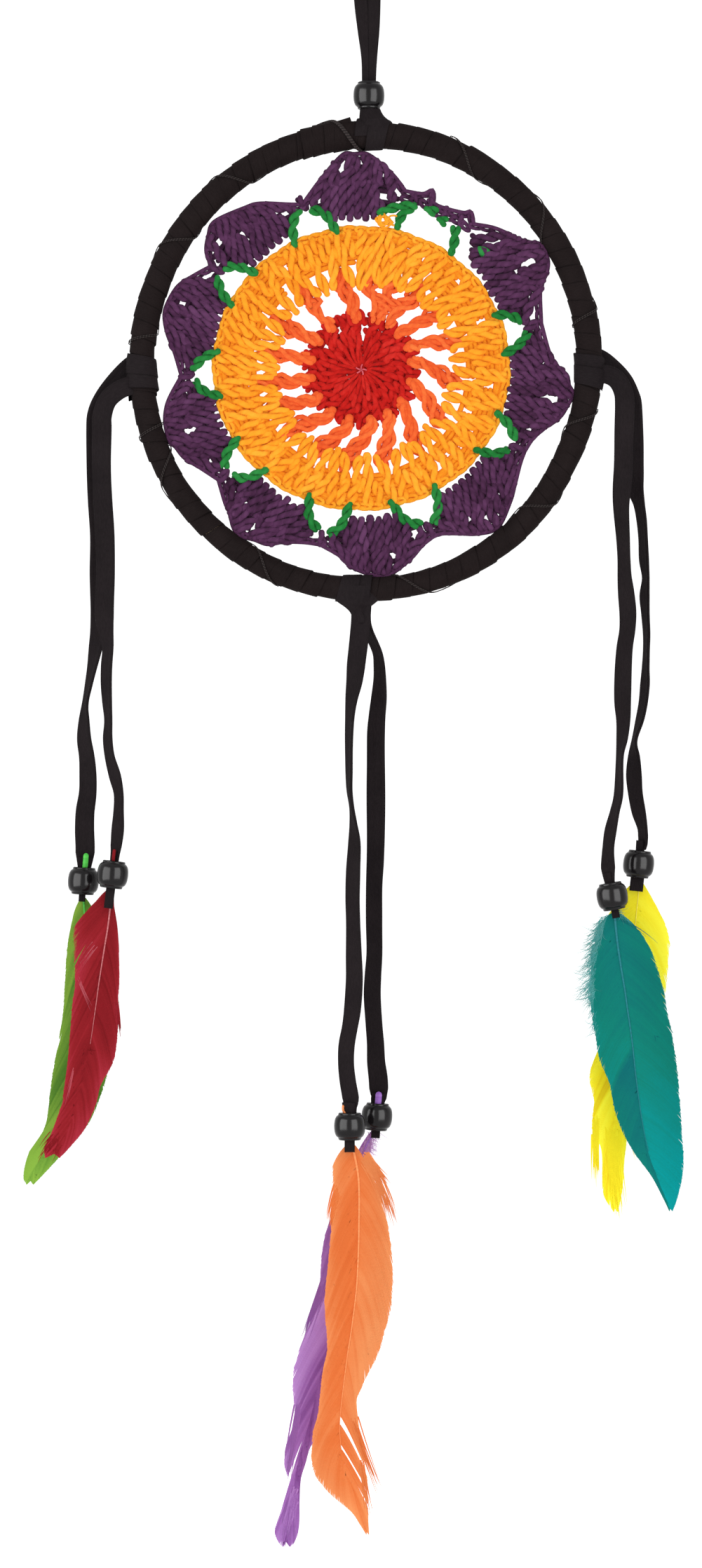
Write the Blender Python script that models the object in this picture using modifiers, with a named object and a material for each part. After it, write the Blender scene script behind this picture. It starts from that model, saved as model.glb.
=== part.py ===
"""A feathered dream catcher: a ribbon-wound hoop with a crocheted mandala tied inside it, a hanging
loop with a bead, and three pairs of ribbons that end in beads and feathers.

+Z is up and the front faces -Y. The origin is where a nail bears on the hanging loop. Sizes are in
millimetres, and places are (x, z) from the hoop's centre, with y as depth: at() turns both into metres.
Each moving piece hangs from an empty on its joint's axis.
"""

import math

import bmesh
import bpy
from mathutils import Matrix, Vector

MM = 0.001
GAP = 0.3  # between pieces that touch

# The hoop
HOOP_Z = -150.0  # its centre, below the nail
HOOP_OUTER = 80.0
HOOP_TUBE = 4.4  # radius over the ribbon that is wound round it
RING_TUBE = 3.0  # radius of the bare ring inside
HOOP_MID = HOOP_OUTER - HOOP_TUBE
HOOP_STEPS = 48
WRAP_START, WRAP_END = 90.0, 447.0  # the winding's two ends meet under the top tie

# The ties, each wound round the hoop: angle and half width in degrees
TIE_BORE = HOOP_TUBE + 0.45
TIE_OUTER = 5.8
TOP_TIE = (88.4, 4.6)
LEFT_TIE = (183.8, 5.8)
BOTTOM_TIE = (267.7, 5.3)
RIGHT_TIE = (-1.9, 5.5)
SHOULDER = 3.6  # radius of the ribbons where they leave a side tie together
SHOULDER_STEP = 3.0
LEFT_SHOULDER = ((-78.0, -3.0), (-84.0, -6.5), (-88.0, -12.0), (-89.8, -17.5), (-90.0, -22.4))
RIGHT_SHOULDER = ((78.0, -2.0), (82.6, -2.4), (86.6, -5.2), (88.6, -9.4), (88.8, -14.4))
FUNNEL = {"x": -2.2, "top": -78.5, "bottom": -86.4, "top_radius": 6.4, "bottom_radius": 3.6}
NECK = {"x": 1.4, "top": 84.6, "bottom": 78.4, "top_radius": 3.4, "bottom_radius": 5.0}

# The beads: turned barrels, wider in the middle
BEAD_RADIUS = 5.1
BEAD_END_RADIUS = 3.9
BEAD_HEIGHT = 9.2
BEAD_FLAT = 0.35  # share of the half height over which a bead is widest
BEAD_EDGE = 0.5  # rounding between a bead's side and its ends
PENDANT_BORE = 2.4
TOP_BORE = 2.7
TOP_BEAD = (1.2, 89.6)
BEAD_STEPS = 16

# The hanging loop: two strands side by side through the top bead, and round the nail
LOOP_STRAND = 1.1
LOOP_OFFSET = 1.25
LOOP_STRAIGHT = (85.4, 97.0, 109.0, 121.0)  # heights where the strands lie side by side
LOOP_SPREAD = ((2.8, 136.0), (-2.0, 136.0))  # where they draw apart on their way to the nail
CROWN_RADIUS = 3.1
LOOP_STEP = 5.0

# The pendants' ribbons. A pair's front ribbon and its back one draw apart as they hang.
STRAND = 1.1
FRONT, BACK = -1, 1
TIE_DEPTH = 2.2
BEAD_DEPTH = 5.6
ROUTE_STEP = 8.0
RIBBONS = {
    "green": (BACK, (
        (-91.2, -23.2), (-91.0, -45.0), (-90.4, -62.0), (-90.4, -80.0), (-91.2, -95.0), (-93.6, -106.0),
        (-94.9, -116.0), (-95.0, -126.0), (-93.8, -138.0), (-94.6, -149.0), (-95.0, -160.0))),
    "red": (FRONT, (
        (-88.8, -23.2), (-88.8, -45.0), (-87.8, -62.0), (-87.6, -80.0), (-87.0, -96.0), (-87.0, -110.0),
        (-86.4, -122.0), (-86.2, -132.0), (-84.2, -140.0), (-83.0, -148.0), (-83.2, -158.0))),
    "orange": (FRONT, (
        (-3.2, -87.2), (-2.6, -96.0), (-3.8, -108.0), (-5.2, -119.0), (-5.6, -130.0), (-5.6, -144.0),
        (-4.4, -153.0), (-3.8, -163.0), (-4.1, -178.0), (-3.9, -200.0), (-3.9, -215.0), (-5.2, -225.0),
        (-6.4, -234.0), (-6.2, -243.0))),
    "violet": (BACK, (
        (-1.2, -87.2), (1.6, -94.0), (4.4, -102.0), (4.9, -111.0), (3.9, -123.0), (3.7, -140.0),
        (3.6, -162.0), (3.1, -180.0), (3.2, -200.0), (2.5, -211.0), (3.2, -225.0), (3.9, -240.0))),
    "teal": (FRONT, (
        (87.6, -15.2), (87.4, -30.0), (87.0, -48.0), (87.2, -62.0), (87.6, -75.0), (88.4, -87.0),
        (87.3, -98.0), (86.7, -110.0), (86.8, -122.0), (85.9, -133.0), (85.2, -142.0), (83.6, -151.0),
        (82.0, -160.0), (81.5, -168.0))),
    "yellow": (BACK, (
        (90.0, -15.2), (90.6, -30.0), (92.6, -47.0), (94.0, -58.0), (94.8, -70.0), (94.8, -82.0),
        (95.2, -94.0), (94.6, -108.0), (93.4, -119.0), (91.4, -129.0), (91.2, -138.0), (92.0, -147.0),
        (92.8, -156.0))),
}
# Under each ribbon: the bead's centre, how far its top leans to +X in degrees, the tail's end below it
BEADS = {
    "green": (-95.2, -175.7, 4.0, -7.0),
    "red": (-85.0, -173.3, 7.0, -11.4),
    "orange": (-5.3, -258.0, 0.0, -8.6),
    "violet": (3.9, -255.6, 4.0, -7.2),
    "teal": (83.0, -180.6, -10.0, -7.4),
    "yellow": (92.6, -170.0, 6.0, -9.2),
}
TAIL = 0.8
TAIL_START = -1.0
TAIL_DEPTHS = (-1.3, -1.4, -1.5)
HINGE_ABOVE_BEAD = 0.6
HINGE_SPLIT = 0.4  # from a hinge's axis to the ribbon that ends there

# The feathers: (height from the bead's centre, left edge, rachis, right edge)
VANE_THICKNESS = 0.8
QUILL = 0.6
QUILL_DEPTH = 0.9  # the quill passes behind the ribbon's tail
QUILL_TIP = ((3.6, -2.9), (1.2, -2.4), (-0.6, -1.5))  # height over the bead's top, and depth
QUILL_MIDDLE = 0.6  # its depth at the bead's centre
QUILL_STEP = 3.5
CUP_RADIUS = 30.0  # of the vane's curl across its width
FEATHERS = {
    "green": (
        (-6, -3.2, -0.2, 2.2), (-17, -5.2, 1.4, 8.0), (-28, -6.5, 2.5, 12.0), (-43, -7.3, 2.8, 13.4),
        (-58, -9.0, 1.6, 11.0), (-70, -11.4, -1.6, 8.0), (-84, -13.4, -6.6, 1.4),
        (-91, -18.2, -11.0, -8.0), (-102, -20.4, -19.0, -17.5)),
    "red": (
        (-7, -2.6, -0.8, 0.6), (-12, -8.5, -0.9, 0.2), (-17, -12.5, -1.2, 0.6), (-26, -12.9, -2.0, 1.9),
        (-38, -12.8, -3.8, 2.4), (-54, -14.3, -6.6, 2.0), (-66, -15.3, -8.8, -1.2),
        (-77, -17.3, -12.5, -5.0), (-86, -19.6, -15.8, -9.4), (-95, -23.0, -22.0, -19.0)),
    "orange": (
        (-6, -3.2, 1.5, 4.6), (-14, -5.6, 3.1, 8.4), (-27, -6.2, 3.4, 14.0), (-44, -7.2, 2.4, 14.5),
        (-56, -8.0, 1.6, 14.5), (-70, -8.0, 0.3, 12.4), (-82, -8.9, -1.6, 7.9), (-93, -9.8, -3.2, 2.6),
        (-104, -12.5, -3.4, 3.4), (-114, -12.4, -2.2, 4.8), (-124, -6.0, 1.2, 6.9), (-137, 5.2, 6.4, 7.4)),
    "violet": (
        (-6, -2.6, 0.3, 2.2), (-18, -6.0, -1.2, 4.0), (-30, -11.0, -3.6, 4.0), (-43, -17.2, -7.0, 3.0),
        (-56, -19.5, -10.0, 1.0), (-70, -22.5, -13.0, -3.0), (-84, -28.2, -17.0, -7.0),
        (-97, -28.4, -20.5, -12.0), (-110, -30.5, -24.0, -17.5), (-124, -31.6, -27.8, -24.8),
        (-134, -32.0, -29.8, -27.0), (-145, -34.0, -32.2, -30.0)),
    "teal": (
        (-6, -2.6, 0.8, 5.6), (-16, -5.0, 1.4, 13.4), (-28, -6.7, 3.0, 17.2), (-42, -6.6, 5.2, 19.1),
        (-55, -4.1, 7.1, 21.4), (-67, 0.0, 8.3, 22.8), (-78, 3.2, 10.2, 23.8), (-88, 8.6, 12.8, 24.3),
        (-97, 14.0, 16.4, 23.6), (-106, 18.6, 19.8, 21.6)),
    "yellow": (
        (-7, -1.8, 0.2, 2.0), (-16, -9.0, -0.6, 7.5), (-25, -14.5, -1.4, 10.6), (-38, -14.6, -2.4, 9.6),
        (-52, -14.2, -3.6, 8.2), (-66, -14.4, -5.2, 4.5), (-80, -15.6, -6.8, 0.0),
        (-92, -15.6, -8.0, -4.0), (-104, -14.8, -8.6, -5.6), (-118, -9.0, -7.8, -6.6)),
}
VANE_COLUMNS = 4
QUILL_SHARE = 0.7  # of the feather's stations that the quill can be felt along

# The crocheted mandala: flat rounds, one inside the next
MANDALA = (-1.4, -2.4)
ROUND_THICKNESS = 2.4
RED_RADIUS = 19.5
SPOKE_GAPS = (180, 198.6, 218.5, 237.7, 258.6, 279.3, 301.3, 323.3, 346.8,
              366.7, 389.2, 405.5, 421, 436.5, 450, 475.5, 498.3, 520)
SPOKE_GAP_INNER, SPOKE_GAP_OUTER, SPOKE_GAP_WIDTH = 20.9, 27.0, 3.0
SPOKE_GAP_TAPER = 0.7  # its outer end's width, as a share of its middle
SPOKE_CLEARANCE = 0.4
LOBE_RADIUS, CLEFT_RADIUS = 28.2, 33.6  # the yellow round's inner edge, on and between the gaps
LOBE_HALF = 3.5  # half of a lobe's blunt end, in degrees
YELLOW_RADIUS = 48.8
GREEN_INNER, GREEN_OUTER = 49.1, 50.1
LEG_RADIUS = 56.6  # where two legs meet at a valley
LEG_SPREAD = 8.2  # degrees from the valley to each leg's foot
LEG_TIP_HALF = 1.2
LEG_FOOT = 3.4  # degrees of the foot's own width
LEG_CROWN = 3.2  # from the opening between two legs to where they meet
PETAL_BASE, PETAL_VALLEY_INNER, PETAL_VALLEY_OUTER = 51.2, 57.8, 61.8
VALLEY_HALF = 1.5  # degrees to each side of a valley at the petals' outer edge
ARCH_HALF = 3.5  # the same at the top of the arch over the legs
ARCH_FOOT = 10.5  # the same at the arch's foot
PETAL_REACH = 69.6  # how far the petals' tips lie from the hoop's own centre
SLACK_PETAL = 64.4  # one petal is slack and stays short of the hoop
# Each petal: the angle of the valley before it, then the first and last angle of its tip
PETALS = ((146, 156, 166), (182, 192, 203), (218, 230, 241), (256, 272, 279), (293, 306, 315),
          (332, 348, 356), (374, 389, 396), (412, 421, 429), (436, 448, 455), (470, 494, 500))
SLACK_INDEX = 7

# The lashing thread, in four runs between the ties: hoop angles where it crosses the front
THREAD = 0.3
THREAD_ROUND = 5.4
CROSSING = 6.5  # degrees that it leans as it crosses
LASHINGS = {
    "top_left": (97.0, 123.0, 144.6, 168.0),
    "left_bottom": (197.0, 205.0, 240.0),
    "bottom_right": (279.0, 317.0, 343.0),
    "right_top": (11.0, 33.0, 60.5),
}

BLACK_RIBBON = (0.016, 0.012, 0.012)
COLOURS = {
    "green": (0.12, 0.36, 0.05), "red": (0.42, 0.012, 0.03), "orange": (0.85, 0.17, 0.03),
    "violet": (0.26, 0.10, 0.42), "teal": (0.0, 0.24, 0.21), "yellow": (0.95, 0.72, 0.02),
}


def at(x, z, y=0.0):
    """A place in metres, from millimetres about the hoop's centre."""
    return Vector((x, y, z + HOOP_Z)) * MM


def on_hoop(radius, degrees, y=0.0):
    turn = math.radians(degrees)
    return at(radius * math.cos(turn), radius * math.sin(turn), y)


def on_mandala(radius, degrees):
    turn = math.radians(degrees)
    return at(MANDALA[0] + radius * math.cos(turn), MANDALA[1] + radius * math.sin(turn))


def clear_scene():
    for obj in list(bpy.data.objects):
        bpy.data.objects.remove(obj)


def collection(name):
    made = bpy.data.collections.new(name)
    bpy.context.scene.collection.children.link(made)
    return made


def origin_of(obj):
    """World place of an object in a chain that is moved but never turned."""
    place = Vector()
    while obj is not None:
        place += obj.location
        obj = obj.parent
    return place


def material(name, colour, roughness):
    made = bpy.data.materials.new(name)
    made.use_nodes = True
    shader = made.node_tree.nodes["Principled BSDF"]
    shader.inputs["Base Color"].default_value = (*colour, 1.0)
    shader.inputs["Roughness"].default_value = roughness
    shader.inputs["Metallic"].default_value = 0.0
    return made


def pivot(name, place, parent=None):
    """An empty on a joint's axis, which carries what turns or slides there."""
    empty = bpy.data.objects.new(name, None)
    empty.empty_display_size = 10 * MM
    empty.location = place - origin_of(parent)
    empty.parent = parent
    PARTS.objects.link(empty)
    return empty


def finish(obj, look, parent, place=None):
    """Puts a piece in the parts collection on its pivot, with its material."""
    if place is None:
        place = origin_of(parent)
    obj.parent = parent
    obj.location = place - origin_of(parent)
    obj.data.materials.append(look)
    for other in list(obj.users_collection):
        other.objects.unlink(obj)
    PARTS.objects.link(obj)
    if obj.type == "MESH":
        obj.data.shade_smooth()
        obj.data.set_sharp_from_angle(angle=math.radians(40))
    return obj


def helper(obj):
    """Marks a shape that only cuts or joins."""
    for other in list(obj.users_collection):
        other.objects.unlink(obj)
    CUTTERS.objects.link(obj)
    obj.hide_render = True
    obj.display_type = "WIRE"
    return obj


def boolean(obj, other, operation):
    modifier = obj.modifiers.new(operation.title(), "BOOLEAN")
    modifier.operation = operation
    modifier.object = helper(other)
    return obj


def smooth_route(points, step):
    """Points about one step apart, read from a smooth curve through the given ones."""
    ends = [2 * points[0] - points[1], *points, 2 * points[-1] - points[-2]]
    fine = []
    for before, start, end, after in zip(ends, ends[1:], ends[2:], ends[3:]):
        for share in (0.0, 0.125, 0.25, 0.375, 0.5, 0.625, 0.75, 0.875):
            bend = 2 * before - 5 * start + 4 * end - after
            twist = 3 * start - 3 * end + after - before
            fine.append((2 * start + (end - before) * share + bend * share**2 + twist * share**3) / 2)
    fine.append(points[-1])
    spans = [(b - a).length for a, b in zip(fine, fine[1:])]
    count = max(2, round(sum(spans) / (step * MM)))
    stride = sum(spans) / count
    route, walked = [fine[0]], 0.0
    for a, b, span in zip(fine, fine[1:], spans):
        while len(route) < count and walked + span >= stride * len(route):
            route.append(a.lerp(b, (stride * len(route) - walked) / span))
        walked += span
    return [*route, fine[-1]]


def tube(name, points, radius, base=Vector(), resolution=2):
    """A round tube with filled caps through world points, its origin at the base place."""
    data = bpy.data.curves.new(name, "CURVE")
    data.dimensions = "3D"
    data.bevel_depth = radius * MM
    data.bevel_resolution = resolution
    data.use_fill_caps = True
    spline = data.splines.new("POLY")
    spline.points.add(len(points) - 1)
    for control, point in zip(spline.points, points):
        control.co = (*(point - base), 1.0)
    obj = bpy.data.objects.new(name, data)
    PARTS.objects.link(obj)
    return obj


def as_mesh(curve):
    """The same tube as a closed mesh, which a Boolean can take."""
    bpy.context.view_layer.update()
    graph = bpy.context.evaluated_depsgraph_get()
    data = bpy.data.meshes.new_from_object(curve.evaluated_get(graph))
    shape = bmesh.new()
    shape.from_mesh(data)
    bmesh.ops.remove_doubles(shape, verts=shape.verts, dist=1e-6)
    shape.to_mesh(data)
    shape.free()
    name, place = curve.name, curve.matrix_world.copy()
    bpy.data.objects.remove(curve)
    obj = bpy.data.objects.new(name, data)
    obj.matrix_world = place
    PARTS.objects.link(obj)
    return obj


def hoop_torus(name, tube_radius, sides):
    bpy.ops.mesh.primitive_torus_add(
        location=at(0, 0), rotation=(math.pi / 2, 0, 0), major_radius=HOOP_MID * MM,
        minor_radius=tube_radius * MM, major_segments=HOOP_STEPS, minor_segments=sides)
    obj = bpy.context.object
    obj.name = name
    return obj


def hoop_arc(first, last, steps):
    """Points along the middle of the hoop's tube, between two angles."""
    return [on_hoop(HOOP_MID, first + (last - first) * i / steps) for i in range(steps + 1)]


def cone(name, x, top, bottom, top_radius, bottom_radius):
    """An upright cone for where gathered ribbon meets a tie."""
    data = bpy.data.meshes.new(name)
    shape = bmesh.new()
    bmesh.ops.create_cone(
        shape, cap_ends=True, segments=16, radius1=bottom_radius * MM, radius2=top_radius * MM,
        depth=(top - bottom) * MM, matrix=Matrix.Translation(at(x, (top + bottom) / 2)))
    shape.to_mesh(data)
    shape.free()
    obj = bpy.data.objects.new(name, data)
    PARTS.objects.link(obj)
    return obj


def turned_bead(name, look, centre, lean, bore, parent):
    """A barrel bead with its bore, turned about its own axis."""
    half = BEAD_HEIGHT / 2
    upper = [(bore, half - GAP), (bore + GAP, half), (BEAD_END_RADIUS - BEAD_EDGE, half),
             (BEAD_END_RADIUS, half - BEAD_EDGE), (BEAD_RADIUS, half * BEAD_FLAT)]
    profile = [*upper, *((radius, -height) for radius, height in reversed(upper))]
    data = bpy.data.meshes.new(name)
    edges = [(i, (i + 1) % len(profile)) for i in range(len(profile))]
    data.from_pydata([(r * MM, 0.0, z * MM) for r, z in profile], edges, [])
    obj = bpy.data.objects.new(name, data)
    PARTS.objects.link(obj)
    screw = obj.modifiers.new("Turn", "SCREW")
    screw.axis = "Z"
    screw.steps = BEAD_STEPS
    screw.render_steps = BEAD_STEPS
    screw.use_merge_vertices = True
    screw.merge_threshold = 1e-5
    screw.use_smooth_shade = True
    obj.rotation_euler = (0.0, math.radians(lean), 0.0)
    return finish(obj, look, parent, centre)


def flat_piece(name, look, outlines, parent):
    """A flat piece in the hoop's plane, from closed outlines of world points. Inner ones are holes."""
    base = origin_of(parent)
    data = bpy.data.curves.new(name, "CURVE")
    data.dimensions = "2D"
    data.fill_mode = "BOTH"
    data.extrude = ROUND_THICKNESS / 2 * MM
    for outline in outlines:
        spline = data.splines.new("POLY")
        spline.points.add(len(outline) - 1)
        for control, point in zip(spline.points, outline):
            offset = point - base
            control.co = (offset.x, offset.z, 0.0, 1.0)
        spline.use_cyclic_u = True
    obj = bpy.data.objects.new(name, data)
    PARTS.objects.link(obj)
    obj.rotation_euler = (math.pi / 2, 0.0, 0.0)
    return finish(obj, look, parent)


def circle(radius, steps):
    return [on_mandala(radius, 360 * i / steps) for i in range(steps)]


def build_hoop(body, looks):
    """The bare ring, and the ribbon wound round it as a sleeve that is open under the top tie."""
    finish(hoop_torus("hoop_ring", RING_TUBE, 8), looks["cane"], body, at(0, 0))
    turns = hoop_arc(WRAP_START, WRAP_START + 360 - 360 / HOOP_STEPS, HOOP_STEPS - 1)
    turns.append(on_hoop(HOOP_MID, WRAP_END))
    winding = as_mesh(tube("hoop_winding", turns, HOOP_TUBE, base=origin_of(body), resolution=3))
    boolean(winding, hoop_torus("winding_bore", RING_TUBE + GAP, 8), "DIFFERENCE")
    finish(winding, looks["ribbon"], body)


def build_tie(name, tie, extra, body, looks):
    """A band round the hoop joined to the ribbon that leaves it, and bored to clear the winding."""
    angle, half_width = tie
    arc = hoop_arc(angle - half_width, angle + half_width, 3)
    band = as_mesh(tube(name, arc, TIE_OUTER, base=origin_of(body), resolution=4))
    boolean(band, extra, "UNION")
    boolean(band, hoop_torus(name + "_bore", TIE_BORE, 12), "DIFFERENCE")
    finish(band, looks["ribbon"], body)


def shoulder(name, route):
    points = smooth_route([at(x, z) for x, z in route], SHOULDER_STEP)
    return as_mesh(tube(name, points, SHOULDER, resolution=3))


def valley_gap(index):
    """Degrees from one valley between petals to the next."""
    following = PETALS[(index + 1) % len(PETALS)][0]
    return (following - PETALS[index][0]) % 360


def petal_outline():
    """Outer edge: up from each valley to a petal's tip, which stops at the same distance from the hoop."""
    centre = Vector(MANDALA)
    outline = []
    for index, (valley, first, last) in enumerate(PETALS):
        outline.append(on_mandala(PETAL_VALLEY_OUTER, valley - VALLEY_HALF))
        outline.append(on_mandala(PETAL_VALLEY_OUTER, valley + VALLEY_HALF))
        for degrees in (first, (first + last) / 2, last):
            way = Vector((math.cos(math.radians(degrees)), math.sin(math.radians(degrees))))
            along = centre.dot(way)
            reach = math.sqrt(along**2 - centre.length_squared + PETAL_REACH**2) - along
            outline.append(on_mandala(SLACK_PETAL if index == SLACK_INDEX else reach, degrees))
    return outline


def petal_bases():
    """Inner edge: each petal's broad base, and the arch over the green legs at each valley."""
    outline = []
    for index, (valley, _, _) in enumerate(PETALS):
        width = valley_gap(index) - 2 * ARCH_FOOT
        outline.append(on_mandala(PETAL_VALLEY_INNER, valley - ARCH_HALF))
        outline.append(on_mandala(PETAL_VALLEY_INNER, valley + ARCH_HALF))
        for share in (0.0, 0.5, 1.0):
            outline.append(on_mandala(PETAL_BASE, valley + ARCH_FOOT + width * share))
    return outline


def leg_outline():
    """The green round: a thin band with two legs at each valley that lean together to a point."""
    outline = []
    for index, (valley, _, _) in enumerate(PETALS):
        width = valley_gap(index) - 2 * LEG_SPREAD
        outline.append(on_mandala(LEG_RADIUS, valley - LEG_TIP_HALF))
        outline.append(on_mandala(LEG_RADIUS, valley + LEG_TIP_HALF))
        for share in (0.0, 1 / 3, 2 / 3, 1.0):
            outline.append(on_mandala(GREEN_OUTER, valley + LEG_SPREAD + width * share))
    return outline


def leg_windows():
    """The opening between the two legs of each pair."""
    reach = LEG_SPREAD - LEG_FOOT
    return [[on_mandala(GREEN_OUTER, valley - reach), on_mandala(LEG_RADIUS - LEG_CROWN, valley),
             on_mandala(GREEN_OUTER, valley + reach)] for valley, _, _ in PETALS]


def spoke_edge(clearance):
    """The wavy line between the orange spokes and the yellow round."""
    edge = []
    for index, gap in enumerate(SPOKE_GAPS):
        width = (SPOKE_GAPS[(index + 1) % len(SPOKE_GAPS)] - gap) % 360
        edge.append(on_mandala(LOBE_RADIUS - clearance, gap - LOBE_HALF))
        edge.append(on_mandala(LOBE_RADIUS - clearance, gap + LOBE_HALF))
        edge.append(on_mandala(CLEFT_RADIUS - clearance, gap + width / 2))
    return edge


def spoke_gap(degrees):
    """One drop-shaped gap between two spokes."""
    middle = (SPOKE_GAP_INNER + SPOKE_GAP_OUTER) / 2
    half = math.degrees(SPOKE_GAP_WIDTH / 2 / middle)
    taper = half * SPOKE_GAP_TAPER
    return [on_mandala(SPOKE_GAP_INNER, degrees),
            on_mandala(middle, degrees + half), on_mandala(SPOKE_GAP_OUTER, degrees + taper),
            on_mandala(SPOKE_GAP_OUTER, degrees - taper), on_mandala(middle, degrees - half)]


def build_mandala(body, looks):
    flat_piece("mandala_red_centre", looks["yarn_red"], [circle(RED_RADIUS, 36)], body)
    gaps = [spoke_gap(degrees) for degrees in SPOKE_GAPS]
    flat_piece("mandala_orange_spokes", looks["yarn_orange"],
               [spoke_edge(SPOKE_CLEARANCE), circle(RED_RADIUS + GAP, 36), *gaps], body)
    flat_piece("mandala_yellow_round", looks["yarn_yellow"],
               [circle(YELLOW_RADIUS, 60), spoke_edge(0.0)], body)
    flat_piece("mandala_green_legs", looks["yarn_green"],
               [leg_outline(), circle(GREEN_INNER, 60), *leg_windows()], body)
    flat_piece("mandala_purple_petals", looks["yarn_purple"], [petal_outline(), petal_bases()], body)


def build_lashing(name, crossings, body, looks):
    """Thread wound round the hoop, leaning across the front and returning behind to its next stitch."""
    points = []
    for index, start in enumerate(crossings):
        end = start + CROSSING
        following = crossings[index + 1] if index + 1 < len(crossings) else end
        for turn in range(-180, 181, 45):
            if turn == 180 and index + 1 < len(crossings):
                continue
            share = (turn + 180) / 180 if turn <= 0 else turn / 180
            first, last = (start, end) if turn <= 0 else (end, following)
            radius = HOOP_MID + THREAD_ROUND * math.cos(math.radians(turn))
            depth = THREAD_ROUND * math.sin(math.radians(turn))
            points.append(on_hoop(radius, first + (last - first) * share, depth))
    thread = tube("lashing_" + name, points, THREAD, base=origin_of(body), resolution=1)
    finish(thread, looks["thread"], body)


def build_loop(body, looks):
    """Up from the bead on the right, over the nail and down again on the left."""
    crown_z = -HOOP_Z + LOOP_STRAND - CROWN_RADIUS
    crown = []
    for degrees in (0, 45, 90, 135, 180):
        turn = math.radians(degrees)
        crown.append(at(CROWN_RADIUS * math.cos(turn), crown_z + CROWN_RADIUS * math.sin(turn)))
    right = [at(TOP_BEAD[0] + LOOP_OFFSET, z) for z in LOOP_STRAIGHT]
    left = [at(TOP_BEAD[0] - LOOP_OFFSET, z) for z in reversed(LOOP_STRAIGHT)]
    spread_right, spread_left = (at(*place) for place in LOOP_SPREAD)
    route = smooth_route([*right, spread_right, *crown, spread_left, *left], LOOP_STEP)
    finish(tube("hanging_loop", route, LOOP_STRAND, base=origin_of(body)), looks["ribbon"], body)


def leant(colour, height, y=0.0):
    """A place along a bead's leaning axis, from its centre."""
    bead_x, bead_z, lean, _ = BEADS[colour]
    turn = math.radians(lean)
    depth = RIBBONS[colour][0] * BEAD_DEPTH + y
    return at(bead_x + height * math.sin(turn), bead_z + height * math.cos(turn), depth)


def vane_point(colour, row, column):
    """A point of the vane's middle surface. It curls to the front on a front feather, and back behind."""
    height, left, rachis, right = FEATHERS[colour][row]
    side = RIBBONS[colour][0]
    bead_x, bead_z, _, _ = BEADS[colour]
    across = 2 * column / VANE_COLUMNS - 1
    offset = (right - rachis) * across if across > 0 else (rachis - left) * across
    curl = side * offset**2 / (2 * CUP_RADIUS)
    return at(bead_x + rachis + offset, bead_z + height, side * BEAD_DEPTH + QUILL_DEPTH + curl)


def build_feather(colour, body, looks):
    """A thin curled vane with its quill, which runs up through the bead."""
    base = origin_of(body)
    rows = len(FEATHERS[colour])
    data = bpy.data.meshes.new("feather_" + colour)
    shape = bmesh.new()
    bmesh.ops.create_grid(shape, x_segments=VANE_COLUMNS, y_segments=rows - 1, size=1.0)
    for vertex in shape.verts:
        column = round((vertex.co.x + 1) / 2 * VANE_COLUMNS)
        row = round((1 - vertex.co.y) / 2 * (rows - 1))
        vertex.co = vane_point(colour, row, column) - base
    bmesh.ops.recalc_face_normals(shape, faces=shape.faces)
    shape.to_mesh(data)
    shape.free()
    vane = bpy.data.objects.new("feather_" + colour, data)
    PARTS.objects.link(vane)
    solidify = vane.modifiers.new("Thickness", "SOLIDIFY")
    solidify.thickness = VANE_THICKNESS * MM
    solidify.offset = 0.0
    half = BEAD_HEIGHT / 2
    tip = [leant(colour, half + height, depth) for height, depth in QUILL_TIP]
    tip += [leant(colour, 0.0, QUILL_MIDDLE), leant(colour, -half, QUILL_DEPTH)]
    shaft = [vane_point(colour, row, VANE_COLUMNS / 2) for row in range(1, round(rows * QUILL_SHARE))]
    route = smooth_route([*tip, *shaft], QUILL_STEP)
    quill = as_mesh(tube("quill_" + colour, route, QUILL, base=base, resolution=1))
    boolean(vane, quill, "UNION")
    finish(vane, looks["feather_" + colour], body)
    quill.location = base


def build_pendant(colour, hoop, looks):
    """One ribbon on its hinge under the tie, and its bead, tail and feather on a hinge under that."""
    side, route = RIBBONS[colour]
    strand_body = pivot("ribbon_hinge_" + colour, at(*route[0], side * TIE_DEPTH), hoop)
    hinge = leant(colour, BEAD_HEIGHT / 2 + HINGE_ABOVE_BEAD)
    drop_body = pivot("drop_hinge_" + colour, hinge, strand_body)
    top, bottom = route[0][1], hinge.z / MM - HOOP_Z
    points = []
    for x, z in [*route, (hinge.x / MM, bottom + HINGE_SPLIT)]:
        share = (top - z) / (top - bottom)
        points.append(at(x, z, side * (TIE_DEPTH + (BEAD_DEPTH - TIE_DEPTH) * share)))
    points[0].z -= HINGE_SPLIT * MM
    strand = tube("ribbon_" + colour, smooth_route(points, ROUTE_STEP), STRAND, base=origin_of(strand_body))
    finish(strand, looks["ribbon"], strand_body)

    lean, tail_end = BEADS[colour][2:]
    turned_bead("bead_" + colour, looks["bead"], leant(colour, 0.0), lean, PENDANT_BORE, drop_body)
    heights = (TAIL_START, tail_end / 2, tail_end)
    tail_points = [leant(colour, height, depth) for height, depth in zip(heights, TAIL_DEPTHS)]
    tail = tube("tail_" + colour, tail_points, TAIL, base=origin_of(drop_body))
    finish(tail, looks["ribbon"], drop_body)
    build_feather(colour, drop_body, looks)


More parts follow.
